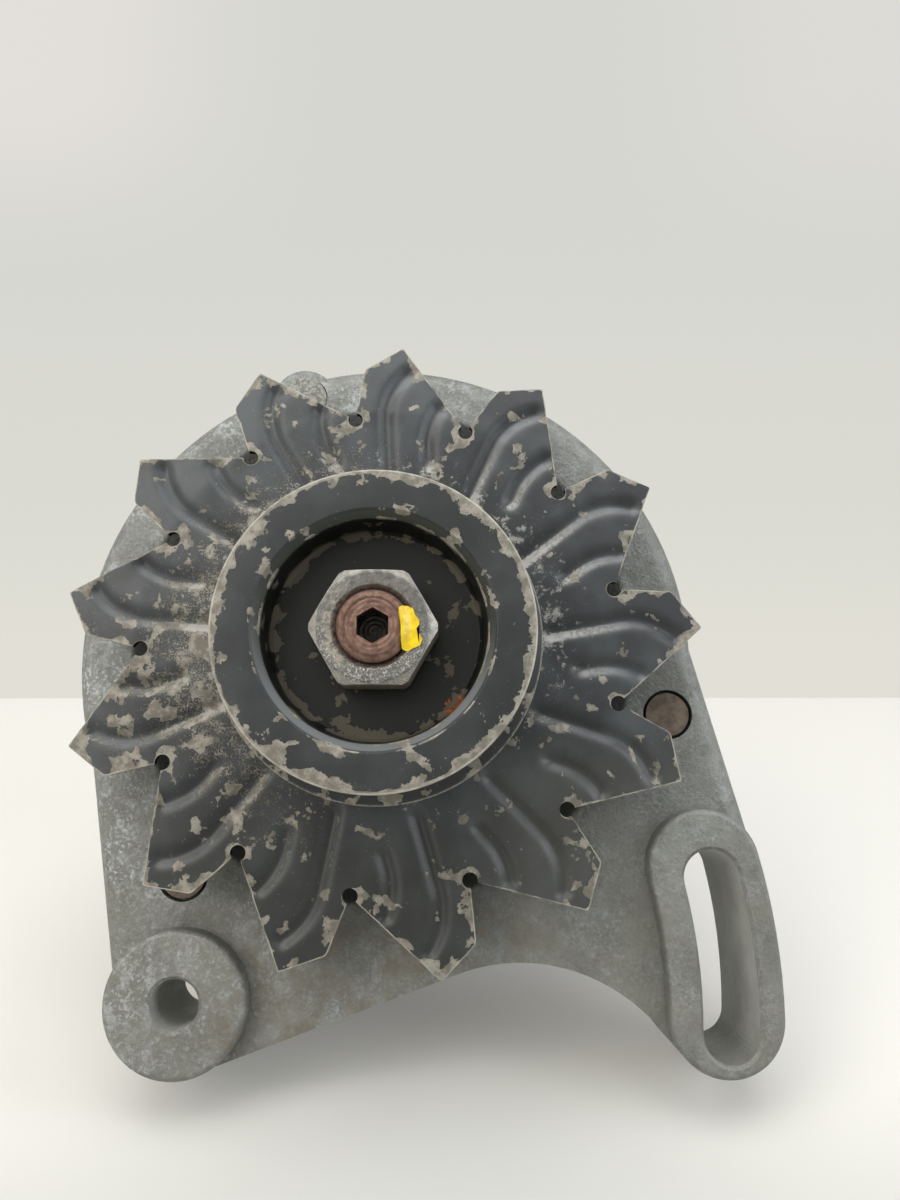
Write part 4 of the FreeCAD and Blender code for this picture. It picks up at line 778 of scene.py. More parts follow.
@dataclass(frozen=True)
class Winding:
    """Varnished copper wire, bundled."""

    name: str = "winding"

    def make(self) -> bpy.types.Material:
        """Build the material.

        Returns:
            The new material.
        """
        shade = Shade(self.name)
        # wires about 1 mm thick
        links = {"Vector": shade.place, "Scale": 0.32, "Distortion": 2.5, "Detail Scale": 0.2}
        wires = shade.add("ShaderNodeTexWave", links, "Fac", bands_direction="DIAGONAL")
        colour = shade.over(shade.pattern(4.0).fade(0.35, 0.7), "#8a4a24", "#5b2c14")
        colour = shade.over(wires.fade(0.0, 0.45, 0.7, 0.0), colour, "#2a140a")
        return shade.finish(colour, 0.32, 0.5, shade.relief(wires, 0.35))


@dataclass(frozen=True)
class YellowPaint:
    """Thick yellow marking paint."""

    name: str = "yellow_paint"

    def make(self) -> bpy.types.Material:
        """Build the material.

        Returns:
            The new material.
        """
        shade = Shade(self.name)
        wave = shade.pattern(2.0, 2.0)
        colour = shade.over(wave.fade(0.35, 0.65), "#e0c412", "#cba90c")
        return shade.finish(colour, 0.35, 0.0, shade.relief(wave, 0.2))


# what each slot of the record looks like
FINISHES = {
    Slot.PAINT: ChippedPaint("pulley_paint", Coat.PULLEY),
    Slot.CASTING: CastMetal("cast_aluminium_skin"),
    Slot.STEEL: PlainFinish("steel_film", "#7c7b77", "#5b5852", 0.42, 0.8),
    Slot.RUST: BoltRust(),
    Slot.BEARING: PlainFinish("ground_steel", "#a9abad", "#8d8f92", 0.24, 1.0, 9.0, 0.3, 0.01),
    Slot.LAMINATED: Laminations(),
    Slot.POLE: PlainFinish("forged_iron", "#4a4a4b", "#353331", 0.5, 0.7, 5.0, 0.8, 0.1),
    Slot.WIRE: Winding(),
    Slot.RING: PlainFinish("ring_copper", "#b8794a", "#8d5a36", 0.28, 1.0, 4.0, 0.3, 0.02),
    Slot.BLACK: PlainFinish("black_moulding", "#1d1e1f", "#2a2b2c", 0.5, 0.0, 5.0, 0.5, 0.04),
    Slot.BROWN: PlainFinish("brown_moulding", "#4a2c1c", "#38210f", 0.45, 0.0, 5.0, 0.5, 0.04),
    Slot.SEAL: PlainFinish("seal_rubber", "#2a201d", "#3a302b", 0.6, 0.0, 4.0, 0.4, 0.03),
    Slot.BRUSH: PlainFinish("pressed_carbon", "#26272a", "#333438", 0.5, 0.1, 2.0, 0.3, 0.03),
    Slot.SINK: PlainFinish("rolled_aluminium", "#a5a7a8", "#8b8c8b", 0.38, 0.9, 8.0, 0.4, 0.03),
    Slot.BRASS: PlainFinish("plain_brass", "#b39552", "#8d733a", 0.33, 1.0, 5.0, 0.4, 0.02),
}


def placed(name: str, data: bpy.types.ID, material: bpy.types.Material | None = None) -> bpy.types.Object:
    """Put a mesh, a camera or a light into the scene.

    Args:
        name: The object's name.
        data: What it shows.
        material: A mesh's only material.

    Returns:
        The new object.
    """
    item = bpy.data.objects.new(name, data)
    bpy.context.scene.collection.objects.link(item)
    if material:
        data.materials.clear()
        data.materials.append(material)
    return item


def new_piece(name: str, mesh: bpy.types.Mesh, material: bpy.types.Material, body: str,
              replaced: Sequence[str] = ()) -> bpy.types.Object:
    """Add one visual piece at the origin, on its body, and hide the CAD nodes that it stands for.

    Args:
        name: The piece's name.
        mesh: Its mesh, in place.
        material: Its material.
        body: The body that it rides on.
        replaced: CAD nodes that it stands for.

    Returns:
        The new object.
    """
    piece = placed(name, mesh, material)
    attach(piece, body)
    if replaced:
        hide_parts(*replaced)
    LOG.info("piece %s on %s, %d faces", name, body, len(mesh.polygons))
    return piece


def finished(work: bmesh.types.BMesh, name: str, degrees: float) -> bpy.types.Mesh:
    """Shade faces smooth, keep edges sharp beyond an angle, and make the mesh.

    Args:
        work: The shape, which is freed.
        name: Name of the new mesh.
        degrees: The angle between faces past which an edge stays sharp.

    Returns:
        The new mesh.
    """
    limit = math.radians(degrees)
    for face in work.faces:
        face.smooth = True
    for edge in work.edges:
        edge.smooth = len(edge.link_faces) == 2 and edge.calc_face_angle(0.0) < limit
    mesh = bpy.data.meshes.new(name)
    work.to_mesh(mesh)
    work.free()
    return mesh


def merged_copy(source: bpy.types.Object, name: str) -> bpy.types.Mesh:
    """Copy a CAD node's mesh, join its triangles and shade it smooth.

    Args:
        source: The node's object.
        name: Name of the new mesh.

    Returns:
        The new mesh.
    """
    work = bmesh.new()
    work.from_mesh(source.data)
    bmesh.ops.remove_doubles(work, verts=work.verts, dist=2e-6)
    bmesh.ops.dissolve_degenerate(work, dist=1e-7, edges=work.edges)
    return finished(work, name, 32.0)


def lathe(name: str, outline: Sequence[Point], steps: int) -> bpy.types.Mesh:
    """Turn a closed outline about the shaft axis.

    Args:
        name: Name of the new mesh.
        outline: Points of radius and station in millimetres.
        steps: Segments round the axis.

    Returns:
        The new mesh.
    """
    work = bmesh.new()
    points = [work.verts.new((radius * MM, station * MM, 0.0)) for radius, station in outline]
    edges = [work.edges.new((points[index - 1], point)) for index, point in enumerate(points)]
    bmesh.ops.spin(work, geom=points + edges, cent=(0, 0, 0), axis=(0, 1, 0), dvec=(0, 0, 0),
                   angle=2 * math.pi, steps=steps, use_merge=True, use_duplicate=False)
    bmesh.ops.remove_doubles(work, verts=work.verts, dist=1e-6)
    bmesh.ops.recalc_face_normals(work, faces=work.faces)
    return finished(work, name, 40.0)


def curve(start: Vector, corner: Vector, end: Vector, steps: int) -> list[Point]:
    """Curve from one point to another, pulled towards a corner.

    Args:
        start: The first point.
        corner: The corner that the curve stays inside.
        end: The last point.
        steps: Segments of the curve.

    Returns:
        The curve's points.
    """
    points = []
    for step in range(steps + 1):
        share = step / steps
        point = start * (1 - share) ** 2 + corner * 2 * share * (1 - share) + end * share ** 2
        points.append((point.x, point.y))
    return points


def rounded(points: Sequence[Point], radius: float, steps: int = 4) -> list[Point]:
    """Round the corners of a closed outline.

    Args:
        points: The corners.
        radius: The most that a corner is rounded by.
        steps: Segments per corner.

    Returns:
        The new outline.
    """
    result: list[Point] = []
    count = len(points)
    for index, corner in enumerate(points):
        before, after = Vector(points[index - 1]), Vector(points[(index + 1) % count])
        here = Vector(corner)
        into, out = here - before, after - here
        turn = into.angle(out) if into.length and out.length else 0.0
        if turn < 0.05:
            result.append(corner)
            continue
        reach = min(radius * math.tan(turn / 2), into.length * 0.45, out.length * 0.45)
        start, end = here - into.normalized() * reach, here + out.normalized() * reach
        result.extend(curve(start, here, end, steps))
    return result


@dataclass(frozen=True)
class Fan:
    """The cooling fan, pressed from one sheet. Sizes are in millimetres and degrees."""

    blades: int = 13
    first_angle: float = 69.55
    relief_circle: float = 52.5
    relief_radius: float = 1.65
    corner: Point = (65.0, 3.0)
    tip: Point = (70.5, 10.5)
    bore: float = 8.6
    sheet: float = 1.8
    front: float = 15.29
    hub_radius: float = 23.0
    flat_radius: float = 32.0
    rise: float = 4.0
    droop: float = 1.8
    rib_depth: float = 1.5
    rib_lead: float = 4.5
    rib_bend: float = 15.5
    # the wall towards the blade's long edge is the gentler one
    rib_walls: Point = (1.4, 1.75)
    rib_start: float = 4.0
    # offset from the blade's rib line, start, start of the bend and its angle
    ribs: tuple[tuple[float, ...], ...] = ((-2.65, 33.0, 52.0, 50.0), (-11.65, 38.6, 45.0, 37.0))
    # how far the roundings of a blade's corner and tip reach
    roundings: Point = (0.7, 0.5)
    relief_steps: int = 14
    bore_steps: int = 60
    # the sheet's points stand on rows of triangles
    grid: float = 0.72
    row_share: float = 0.866

    @property
    def pitch(self) -> float:
        """The angle between two blades."""
        return 360.0 / self.blades

    @cached_property
    def outline(self) -> np.ndarray:
        """The outer outline, going clockwise round the blades."""
        return np.array(self._outline())

    @cached_property
    def paths(self) -> list[np.ndarray]:
        """The centre lines of a blade's two ribs."""
        return [self._rib_path(*rib) for rib in self.ribs]

    def _outline(self) -> list[Point]:
        """Go round the relief hole and the blade's corners, blade by blade.

        Returns:
            Points across and up.
        """
        points: list[Point] = []
        for index in range(self.blades):
            angle = self.first_angle - index * self.pitch
            hole = Vector(polar(self.relief_circle, angle))
            last_tip = Vector(polar(self.tip[0], angle + self.pitch - self.tip[1]))
            corner = Vector(polar(self.corner[0], angle - self.corner[1]))
            tip = Vector(polar(self.tip[0], angle - self.tip[1]))
            start = math.atan2(*reversed(last_tip - hole))
            end = math.atan2(*reversed(corner - hole))
            sweep = (end - start) % (2 * math.pi)
            for step in range(self.relief_steps + 1):
                turn = start + sweep * step / self.relief_steps
                points.append((hole.x + self.relief_radius * math.cos(turn),
                               hole.y + self.relief_radius * math.sin(turn)))
            next_hole = Vector(polar(self.relief_circle, angle - self.pitch))
            points.extend(rounded_corner(hole, corner, tip, self.roundings[0]))
            points.extend(rounded_corner(corner, tip, next_hole, self.roundings[1]))
        return points

    def _rib_path(self, offset: float, start: float, bend: float, turn: float) -> np.ndarray:
        """The centre line of one pressed rib in a blade's own frame.

        Args:
            offset: Distance from the blade's rib line.
            start: Where the rib starts.
            bend: Where it starts to bend over.
            turn: How far it bends, in degrees.

        Returns:
            Points along the rib.
        """
        radius = self.rib_bend
        straight = [(start + (bend - start) * step / 10, offset) for step in range(11)]
        arc = []
        for step in range(1, 13):
            angle = math.radians(turn) * step / 12
            arc.append((bend + radius * math.sin(angle), offset - radius + radius * math.cos(angle)))
        return np.array(straight + arc)

    @staticmethod
    def _distances(places: np.ndarray, line: np.ndarray, closed: bool) -> tuple[np.ndarray, ...]:
        """Distance from places to a line of points.

        Args:
            places: Places across and up.
            line: The line's points.
            closed: Whether the line returns to its start.

        Returns:
            The distance, 1 left of the line and -1 right of it, and the length of line passed.
        """
        ends = np.roll(line, -1, axis=0) if closed else line[1:]
        starts = line if closed else line[:-1]
        run = ends - starts
        size = np.maximum((run ** 2).sum(axis=1), 1e-12)
        apart = places[:, None, :] - starts[None, :, :]
        share = np.clip((apart * run[None]).sum(axis=2) / size[None], 0, 1)
        near = apart - share[..., None] * run[None]
        gap = np.sqrt((near ** 2).sum(axis=2))
        best = gap.argmin(axis=1)
        rows = np.arange(len(places))
        cross = run[best, 0] * apart[rows, best, 1] - run[best, 1] * apart[rows, best, 0]
        lengths = np.sqrt(size)
        before = np.concatenate([[0.0], np.cumsum(lengths)[:-1]])
        return gap[rows, best], np.sign(cross), before[best] + share[rows, best] * lengths[best]

    def _inside(self, places: np.ndarray) -> np.ndarray:
        """Test places against the outline.

        Args:
            places: Places across and up.

        Returns:
            True for each place inside.
        """
        across, up = places[:, 0], places[:, 1]
        inside = np.zeros(len(places), bool)
        ends = np.roll(self.outline, -1, axis=0)
        for (x0, z0), (x1, z1) in zip(self.outline, ends):
            if z0 == z1:
                continue
            cuts = (z0 > up) != (z1 > up)
            inside ^= cuts & (across < (x1 - x0) * (up - z0) / (z1 - z0) + x0)
        return inside

    def _station(self, places: np.ndarray) -> np.ndarray:
        """Station of the front face, with the ribs pressed in.

        Args:
            places: Places across and up.

        Returns:
            A station in millimetres for each place.
        """
        radius = np.hypot(places[:, 0], places[:, 1])
        share = np.clip((radius - self.hub_radius) / (self.flat_radius - self.hub_radius), 0, 1)
        station = self.front + self.rise * share * share * (3 - 2 * share)
        bend = self.relief_circle + self.relief_radius
        station = station + self.droop * np.clip((radius - bend) / (self.tip[0] - bend), 0, 1)
        angles = np.degrees(np.arctan2(places[:, 1], places[:, 0]))
        valley = np.zeros(len(places))
        for index in range(self.blades):
            turn = self.first_angle - index * self.pitch - self.rib_lead
            apart = (angles - turn + 180) % 360 - 180
            mine = np.abs(apart) < self.pitch
            cosine, sine = math.cos(math.radians(turn)), math.sin(math.radians(turn))
            local = places[mine] @ np.array([[cosine, -sine], [sine, cosine]])
            for path in self.paths:
                gap, side, passed = self._distances(local, path, False)
                # each rib rises out of the sheet over its first few millimetres
                grow = np.clip(passed / self.rib_start, 0, 1)
                width = np.where(side > 0, *self.rib_walls)
                depth = np.exp(-(gap / width) ** 2) * grow * grow * (3 - 2 * grow)
                valley[mine] = np.maximum(valley[mine], depth)
        return station + self.rib_depth * valley

    def _grid(self) -> np.ndarray:
        """Points of the sheet between its bore and its outline, clear of both.

        Returns:
            Places across and up.
        """
        step = self.grid
        rows = int(self.tip[0] / step) + 2
        # rows lie closer together than columns, so there are more of them
        low = -int(rows * 1.16)
        grid = np.array([((column + (row % 2) / 2) * step, row * step * self.row_share)
                         for row in range(low, 1 - low) for column in range(-rows, rows + 1)])
        radius = np.hypot(grid[:, 0], grid[:, 1])
        grid = grid[(radius < self.tip[0]) & (radius > self.bore + step * 0.6)]
        grid = grid[self._inside(grid)]
        gap, _, _ = self._distances(grid, self.outline, True)
        return grid[gap > step * 0.55]

    def _triangles(self) -> tuple[np.ndarray, list]:
        """Cover the sheet with triangles.

        Returns:
            Places across and up, and each triangle's three places by number.
        """
        edge = self._dense(self.outline)
        turns = [360 * index / self.bore_steps for index in range(self.bore_steps)]
        bore = np.array([polar(self.bore, turn) for turn in turns])
        links = []
        for loop, first in ((edge, 0), (bore, len(edge))):
            links.extend((first + index, first + (index + 1) % len(loop)) for index in range(len(loop)))
        flat = [Vector((across, up)) for across, up in np.vstack([edge, bore, self._grid()])]
        points, _, faces, _, _, _ = delaunay_2d_cdt(flat, links, [], 0, 1e-5)
        places = np.array([(point.x, point.y) for point in points])
        centres = np.array([places[list(face)].mean(axis=0) for face in faces])
        keep = self._inside(centres) & (np.hypot(centres[:, 0], centres[:, 1]) > self.bore * 0.999)
        return places, [face for face, wanted in zip(faces, keep) if wanted]

    def mesh(self) -> bpy.types.Mesh:
        """Build the pressed sheet.

        Returns:
            The new mesh, with the distance to the edge and how far the face looks up stored on its points.
        """
        places, faces = self._triangles()
        gap, _, _ = self._distances(places, self.outline, True)
        work = bmesh.new()
        edge_layer = work.verts.layers.float.new("edge_mm")
        dust_and_sheen_layer = work.verts.layers.float.new("dust")
        front = []
        for (across, up), height, near in zip(places, self._station(places), gap):
            vertex = work.verts.new((across * MM, height * MM, up * MM))
            vertex[edge_layer] = near
            front.append(vertex)
        for face in faces:
            work.faces.new([front[index] for index in face])
        loose = [vertex for vertex in work.verts if not vertex.link_faces]
        bmesh.ops.delete(work, geom=loose, context="VERTS")
        work.normal_update()
        for vertex in work.verts:
            # dust came from above and the left; the same value also places the fan's painted sheen
            facing = 0.4 * vertex.normal.x - 0.92 * vertex.normal.z
            vertex[dust_and_sheen_layer] = facing * math.copysign(1.0, vertex.normal.y)
        thick = bmesh.ops.extrude_face_region(work, geom=list(work.faces))["geom"]
        back = [item for item in thick if isinstance(item, bmesh.types.BMVert)]
        bmesh.ops.translate(work, verts=back, vec=(0, self.sheet * MM, 0))
        bmesh.ops.recalc_face_normals(work, faces=work.faces)
        return finished(work, "fan_sheet", 40.0)

    def build(self) -> None:
        """Add the fan in its worn paint."""
        paint = ChippedPaint("fan_paint", Coat.FAN, "#303234", "#45494b")
        new_piece("fan_blades", self.mesh(), paint.make(), "rotor", ["cooling_fan"])

    def _dense(self, line: np.ndarray) -> np.ndarray:
        """Add points along a closed outline so that none lie further apart than the grid.

        Args:
            line: The outline.

        Returns:
            The denser outline.
        """
        result = []
        for start, end in zip(line, np.roll(line, -1, axis=0)):
            count = max(int(np.hypot(*(end - start)) / self.grid), 1)
            result.extend(start + (end - start) * index / count for index in range(count))
        return np.array(result)


def rounded_corner(before: Vector, corner: Vector, after: Vector, radius: float) -> list[Point]:
    """Round one corner of an open run of points.

    Args:
        before: The point before the corner.
        corner: The corner.
        after: The point after it.
        radius: How far the rounding reaches along each side.

    Returns:
        Points round the corner.
    """
    start = corner + (before - corner).normalized() * radius
    end = corner + (after - corner).normalized() * radius
    return curve(start, corner, end, 3)


@dataclass(frozen=True)
class Pulley:
    """The belt pulley. Radii and stations are in millimetres."""

    bore: float = 8.53
    hub: float = 17.0
    recess_foot: Point = (20.6, 21.3)
    recess: float = 22.0
    mouth: float = 23.7
    rim: float = 31.4
    flange: float = 33.7
    groove: float = 24.6
    groove_half: float = 2.66
    front: float = -7.5
    floor: float = 2.5
    back: float = 15.29
    rounding: float = 0.3
    steps: int = 192

    def build(self, material: bpy.types.Material) -> None:
        """Add the turned pulley.

        Args:
            material: Its chipped paint.
        """
        recess = [(self.bore, self.floor), (self.recess_foot[0], self.floor),
                  (self.recess_foot[1], self.floor - 0.7), (self.recess, self.front + 1.8)]
        rim = [(self.mouth, self.front), (self.rim, self.front), (self.rim, self.front + 2.5)]
        groove = [(self.groove, -self.groove_half), (self.groove, self.groove_half)]
        flange = [(self.flange, 5.79), (self.flange, 7.79), (self.flange - 1.3, 7.85)]
        hub = [(self.hub + 0.6, 8.3), (self.hub, 8.9), (self.hub, self.back), (self.bore, self.back)]
        outline = rounded(recess + rim + groove + flange + hub, self.rounding)
        mesh = lathe("pulley_turned", outline, self.steps)
        new_piece("belt_pulley", mesh, material, "rotor", ["pulley"])


@dataclass(frozen=True)
class Nut:
    """The hexagon nut, with rounded front corners and a countersunk bore. Sizes are in millimetres."""

    across_flats: float = 22.0
    front: float = -9.0
    back: float = 1.0
    bore: float = 7.03
    chamfer: float = 1.0
    chamfer_slope: float = 0.625
    # the chamfer takes the corners' tips away
    corner_share: float = 0.974
    countersink: float = 1.1
    rounding: float = 0.22
    steps: int = 144

    def mesh(self) -> bpy.types.Mesh:
        """Turn the nut and cut its six flats.

        Returns:
            The new mesh.
        """
        corner = self.across_flats / 2 / math.cos(math.radians(30)) * self.corner_share
        edge = (self.across_flats - self.chamfer) / 2
        shoulder = self.front + (corner - edge) * self.chamfer_slope
        outline = [(self.bore, self.back), (corner, self.back), (corner, shoulder), (edge, self.front),
                   (self.bore + self.countersink, self.front), (self.bore, self.front + self.countersink)]
        work = bmesh.new()
        work.from_mesh(lathe("nut_round", rounded(outline, self.rounding, 3), self.steps))
        for side in range(6):
            across, up = polar(1.0, 30 + 60 * side)
            flat = Vector((across, 0, up))
            shape = list(work.verts) + list(work.edges) + list(work.faces)
            cut = bmesh.ops.bisect_plane(work, geom=shape, dist=1e-7, plane_no=flat, clear_outer=True,
                                         plane_co=flat * self.across_flats / 2 * MM)
            rim = [item for item in cut["geom_cut"] if isinstance(item, bmesh.types.BMEdge)]
            bmesh.ops.contextual_create(work, geom=rim)
        bmesh.ops.recalc_face_normals(work, faces=work.faces)
        return finished(work, "hexagon_nut", 20.0)

    def build(self) -> None:
        """Add the nut in bare steel."""
        new_piece("hexagon_nut", self.mesh(), NutSteel().make(), "rotor", ["pulley_nut"])


@dataclass(frozen=True)
class PaintDab:
    """The dab of marking paint across the shaft's edge and the nut's right side, in millimetres."""

    outline: tuple[Point, ...] = ((4.9, 3.3), (5.5, 3.8), (6.5, 3.8), (7.6, 3.3), (8.0, 2.1), (8.8, 1.1),
                                  (8.8, 0.2), (8.2, -0.6), (8.8, -1.5), (9.4, -2.5), (8.9, -3.8),
                                  (7.8, -4.2), (6.6, -4.9), (5.6, -4.5), (5.4, -2.9), (5.35, -0.3),
                                  (5.0, 1.9))
    shaft_front: float = -10.16
    shaft_radius: float = 5.9
    step_down: float = 1.14
    step_length: float = 1.5
    thickness: float = 0.22
    thin_edge: float = 0.08
    rounding: float = 0.35

    def mesh(self) -> bpy.types.Mesh:
        """Lay the paint over the step from the shaft's face down to the nut.

        Returns:
            The new mesh.
        """
        work = bmesh.new()
        smooth = rounded(self.outline, self.rounding, 3)
        face = work.faces.new([work.verts.new((across * MM, 0.0, up * MM)) for across, up in smooth])
        bmesh.ops.triangulate(work, faces=[face])
        for _ in range(3):
            bmesh.ops.subdivide_edges(work, edges=list(work.edges), cuts=1, use_grid_fill=True)
            bmesh.ops.triangulate(work, faces=list(work.faces))
        for vertex in work.verts:
            past = math.hypot(vertex.co.x, vertex.co.z) / MM - self.shaft_radius
            share = min(max(past, 0.0) / self.step_length, 1.0)
            vertex.co.y = (self.shaft_front + share * self.step_down) * MM
        edge = [vertex for vertex in work.verts if vertex.is_boundary]
        thick = bmesh.ops.extrude_face_region(work, geom=list(work.faces))["geom"]
        top = [item for item in thick if isinstance(item, bmesh.types.BMVert)]
        bmesh.ops.translate(work, verts=top, vec=(0, -self.thickness * MM, 0))
        for vertex in edge:
            vertex.co.y += self.thin_edge * MM
        bmesh.ops.recalc_face_normals(work, faces=work.faces)
        return finished(work, "paint_dab", 20.0)

    def build(self) -> None:
        """Add the dab."""
        new_piece("marking_paint", self.mesh(), YellowPaint().make(), "rotor")


@dataclass(frozen=True)
class SoftBox:
    """One soft light. Places and sizes are in metres, the power in watts."""

    name: str
    place: tuple[float, float, float]
    extent: Point
    power: float
    colour: str

    def build(self, target: Vector) -> None:
        """Add the light.

        Args:
            target: Where it points, from which its place is measured too.
        """
        data = bpy.data.lights.new(self.name, "AREA")
        data.shape = "RECTANGLE"
        data.size, data.size_y = self.extent
        data.energy = self.power
        data.color = linear(self.colour)[:3]
        light = placed(self.name, data)
        light.location = target + Vector(self.place)
        light.rotation_mode = "QUATERNION"
        light.rotation_quaternion = (-Vector(self.place)).to_track_quat("-Z", "Y")


class Studio:
    """Camera, lights, table and wall."""

    EYE = Vector((13.37, -189.82, -29.69)) * MM
    RIGHT = Vector((0.99997755, -0.00658099, -0.00126189))
    DOWN = Vector((0.0, 0.18831755, -0.98210819))
    AHEAD = Vector((0.00670088, 0.98208614, 0.18831332))
    # focal length and height of the picture in its own pixels, and the sensor's height in millimetres
    FOCAL = 970.0
    PICTURE = 1200
    SENSOR = 36.0
    # the edge that the alternator rests on in front, and how far the table leans
    REST_FRONT = Vector((0.0, 57.29, -90.45)) * MM
    REST_TILT = math.radians(23.8)
    # the table's reach before and behind that edge, its half width and its thickness, in metres
    TABLE_NEAR, TABLE_FAR, TABLE_HALF, TABLE_DROP = 1.0, 0.2575, 1.0, 1.4
    WALL_FOOT = Vector((0, 1.2, -1.5))
    WALL_HALF, WALL_HEIGHT = 3.0, 4.0
    LIT_POINT = Vector((0, 0.05, -0.01))
    LIGHTS = (SoftBox("top", (-0.05, -0.4027, 0.6862), (0.9, 0.7), 6.5, "#ffffff"),
              SoftBox("front_left", (-0.6, -0.7, 0.35), (0.6, 0.6), 4.5, "#fffaf2"),
              SoftBox("low_left", (-0.55, -0.5, -0.12), (0.5, 0.4), 0.8, "#fbfaf4"),
              SoftBox("right", (0.75, -0.35, 0.25), (0.5, 0.5), 3.8, "#f4f8ff"))

    def camera(self) -> None:
        """Place the camera where the photograph was taken."""
        data = bpy.data.cameras.new("camera")
        data.sensor_width = self.SENSOR
        data.lens = self.FOCAL / self.PICTURE * self.SENSOR
        data.clip_start, data.clip_end = 0.005, 20.0
        camera = placed("camera", data)
        turn = Matrix((self.RIGHT, -self.DOWN, -self.AHEAD)).transposed().to_4x4()
        camera.matrix_world = Matrix.Translation(self.EYE) @ turn
        bpy.context.scene.camera = camera

    def stage(self) -> None:
        """Build the table that the alternator leans back on, and the wall behind it."""
        rear = Vector((0, math.cos(self.REST_TILT), math.sin(self.REST_TILT)))
        near = self.REST_FRONT - rear * self.TABLE_NEAR
        far = self.REST_FRONT + rear * self.TABLE_FAR
        side = Vector((self.TABLE_HALF, 0, 0))
        white = self._table(far.dot(rear) / MM)
        self._panel("table", [near - side, near + side, far + side, far - side], white)
        drop = Vector((0, 0.002, -self.TABLE_DROP))
        self._panel("table_back", [far - side, far + side, far + side + drop, far - side + drop], white)
        base, wide, high = self.WALL_FOOT, Vector((self.WALL_HALF, 0, 0)), Vector((0, 0, self.WALL_HEIGHT))
        corners = [base - wide, base + wide, base + wide + high, base - wide + high]
        self._panel("wall", corners, self._wall())

    def _table(self, edge: float) -> bpy.types.Material:
        """White board, softened towards its far edge.

        Args:
            edge: How far back the far edge lies along the slope, in millimetres.

        Returns:
            The new material.
        """
        shade = Shade("table_white")
        across, along, up = shade.axes
        back = along * math.cos(self.REST_TILT) + up * math.sin(self.REST_TILT)
        # painted shade: the board is greyer towards the viewer, most in a spot in front of the alternator
        near = shade.radius(across - 15.0, back + 45.0)
        board = shade.over(back.fade(30.0, -45.0), "#e0ded7", "#c4c3bd")
        shade.finish(shade.over(near.fade(100.0, 15.0), board, "#bcbdb8"), 0.9, 0.0)
        fade = back.fade(edge - 3.0, edge)
        seen = shade.over(fade, "#fbfaf5", "#e1dfd6")
        self._glow(shade, seen, fade.most(0.16))
        return shade.material

    def _wall(self) -> bpy.types.Material:
        """Pale grey wall with the photograph's slow change of brightness.

        Returns:
            The new material.
        """
        shade = Shade("wall_grey")
        across, _, up = shade.axes
        shade.finish("#d8d7d2", 0.9, 0.0)
        seen = shade.over(up.fade(120.0, 450.0), "#e1dfd6", "#dadad2")
        seen = shade.over(up.fade(450.0, 850.0), seen, "#d5d6d0")
        side = across.fade(-150.0, -650.0) + across.fade(250.0, 650.0) * 0.5
        side = shade.reckon("MULTIPLY", side, up.fade(700.0, 1100.0), clamp=True)
        seen = shade.over(side, seen, "#e3dfdb")
        self._glow(shade, seen, 1.0)
        return shade.material

    def _panel(self, name: str, corners: Iterable[Vector], material: bpy.types.Material) -> None:
        """Add one flat stage panel.

        Args:
            name: The panel's name.
            corners: Its corners in turn.
            material: Its material.
        """
        work = bmesh.new()
        work.faces.new([work.verts.new(corner) for corner in corners])
        placed(name, finished(work, name, 0.0), material)

    @staticmethod
    def _glow(shade: Shade, seen: object, share: object) -> None:
        """Make a stage surface show a set colour to the camera and in mirrors, on top of its shading.

        Args:
            shade: The material being built.
            seen: The colour shown.
            share: How much of it is shown instead of the lit surface.
        """
        ray = shade.add("ShaderNodeLightPath", output="Is Camera Ray")
        seen_by = ray.most(ray.beside("Is Glossy Ray")).most(ray.beside("Is Transmission Ray"))
        glow = shade.add("ShaderNodeEmission", {"Color": seen})
        lit = Signal(shade, shade.own("Principled BSDF").outputs[0])
        blend = shade.add("ShaderNodeMixShader", {0: seen_by * share, 1: lit, 2: glow})
        shade.link(shade.own("Material Output"), {"Surface": blend})

    def lights(self) -> None:
        """Soft light from above and from the front, as under a light tent."""
        world = bpy.data.worlds.new("world")
        world.use_nodes = True
        nodes = Nodes(world.node_tree)
        nodes.link(nodes.own("Background"), {"Color": "#e6e6e4", "Strength": 0.40})
        lit = Signal(nodes, nodes.own("Background").outputs[0])
        seen = nodes.add("ShaderNodeBackground", {"Color": "#dbdbd5"})
        ray = nodes.add("ShaderNodeLightPath", output="Is Camera Ray")
        seen_by = ray.most(ray.beside("Is Glossy Ray"))
        blend = nodes.add("ShaderNodeMixShader", {0: seen_by, 1: lit, 2: seen})
        nodes.link(nodes.own("World Output"), {"Surface": blend})
        bpy.context.scene.world = world
        for light in self.LIGHTS:
            light.build(self.LIT_POINT)


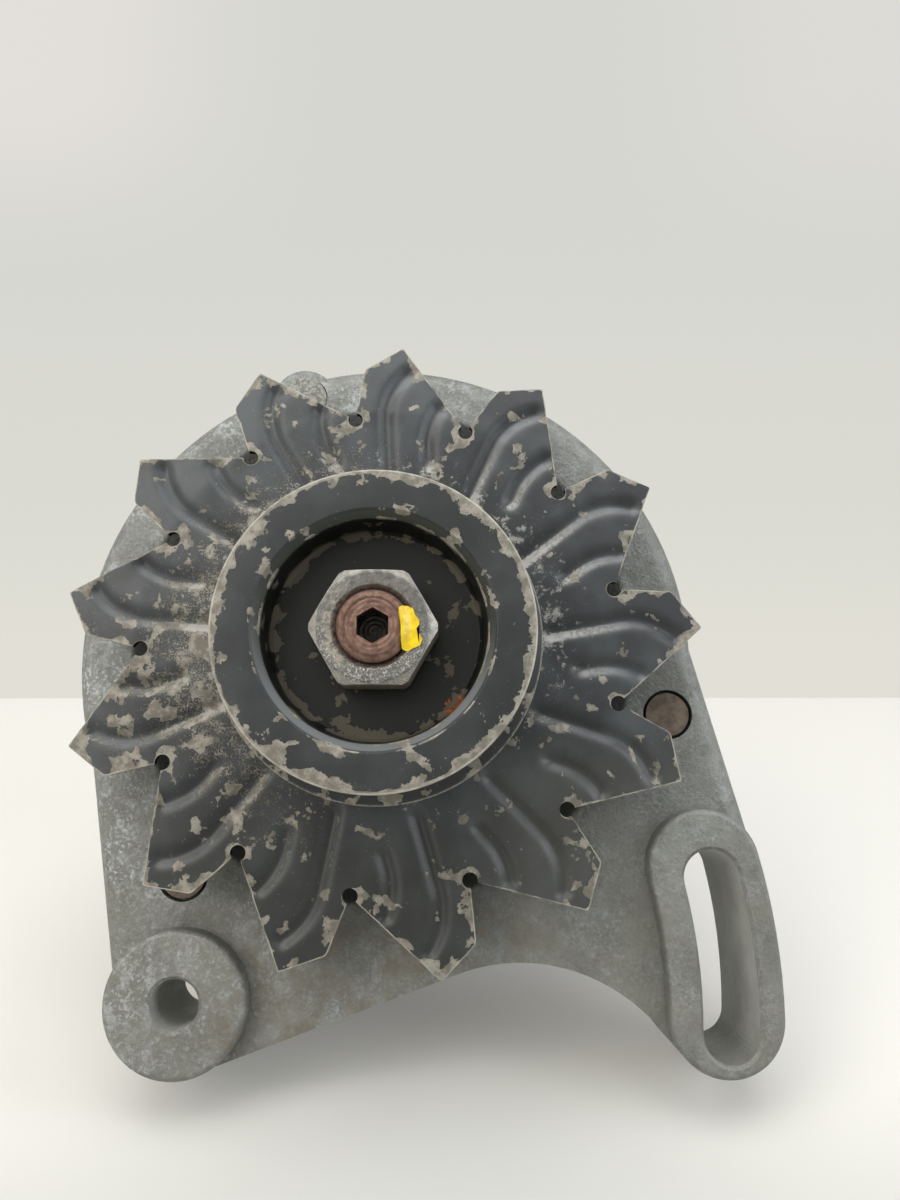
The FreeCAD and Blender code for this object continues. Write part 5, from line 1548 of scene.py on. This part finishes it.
class Alternator:
    """Every visual piece of the object."""

    SMOOTHED = {"drive_end_bracket": "casting", "slip_ring_end_bracket": "casting",
                "battery_stud": "smooth", "battery_bush": "smooth", "battery_washer": "smooth",
                "stator_core": "smooth", "holder_screws": "smooth"}
    BRUSH_TRAVEL = 5.0
    # only the points of the shaft's end face lie in front of the first station
    SHAFT_END = -10.39
    SHAFT_SET_BACK = -10.15
    # only the uppermost bolt's head stands above this height
    HEAD_ABOVE = 45.0
    HEAD_DEPTH = 3.5
    HEAD_SPREAD = 1.1

    def __init__(self, frame: dict) -> None:
        """Keep the frame's nodes and slots, and build the finishes.
        """
        self.nodes = frame["nodes"]
        self.slots = {part["node"]: Slot(part["material_slot"]) for part in frame["record"]["subparts"]}
        self.materials = {slot: finish.make() for slot, finish in FINISHES.items()}

    def build(self) -> None:
        """Dress the CAD nodes and add every detailed piece."""
        for node, item in self.nodes.items():
            for holder in item.material_slots:
                holder.material = self.materials[self.slots[node]]
        for node, ending in self.SMOOTHED.items():
            self._copy(node, f"{node}_{ending}")
        Fan().build()
        Pulley().build(self.materials[Slot.PAINT])
        Nut().build()
        PaintDab().build()
        self._shaft()
        self._bolts()
        self._springs()

    def _copy(self, node: str, name: str, body: str = "housing",
              material: bpy.types.Material | None = None) -> bpy.types.Object:
        """Add a smoothed copy of a CAD node, in the node's stead.

        Args:
            node: The node.
            name: The new piece's name.
            body: The body that it rides on.
            material: Its material, where that isn't the one of its slot.

        Returns:
            The new piece.
        """
        slot = self.slots[node]
        mesh = merged_copy(self.nodes[node], f"{node}_skin")
        return new_piece(name, mesh, material or self.materials[slot], body, [node])

    def _shaft(self) -> None:
        """Copy the shaft, with its end face set back far enough for the marking paint to lie on it."""
        shaft = self._copy("rotor_shaft", "shaft_turned", "rotor", ShaftRust().make())
        for vertex in shaft.data.vertices:
            if vertex.co.y < self.SHAFT_END * MM:
                vertex.co.y = self.SHAFT_SET_BACK * MM

    def _bolts(self) -> None:
        """Copy the through bolts and widen the uppermost one's head, which nearly fills its pocket."""
        vertices = self._copy("through_bolts", "through_bolts_smooth").data.vertices
        back = min(vertex.co.y for vertex in vertices) + self.HEAD_DEPTH * MM
        head = [vertex for vertex in vertices if vertex.co.z > self.HEAD_ABOVE * MM and vertex.co.y < back]
        for axis in (0, 2):
            places = [vertex.co[axis] for vertex in head]
            middle = (min(places) + max(places)) / 2
            for vertex in head:
                vertex.co[axis] = middle + (vertex.co[axis] - middle) * self.HEAD_SPREAD

    def _springs(self) -> None:
        """Copy the brush springs, each with a mesh of its own."""
        for ring in ("front", "rear"):
            coil = self._copy(f"{ring}_brush_spring", f"{ring}_brush_spring_coil")
            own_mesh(coil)


def main() -> None:
    """Build the scene."""
    logging.basicConfig(level=logging.INFO)
    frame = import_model()
    bpy.context.scene.view_settings.view_transform = "Standard"
    studio = Studio()
    studio.camera()
    studio.stage()
    studio.lights()
    Alternator(frame).build()


if __name__ == "__main__":
    main()
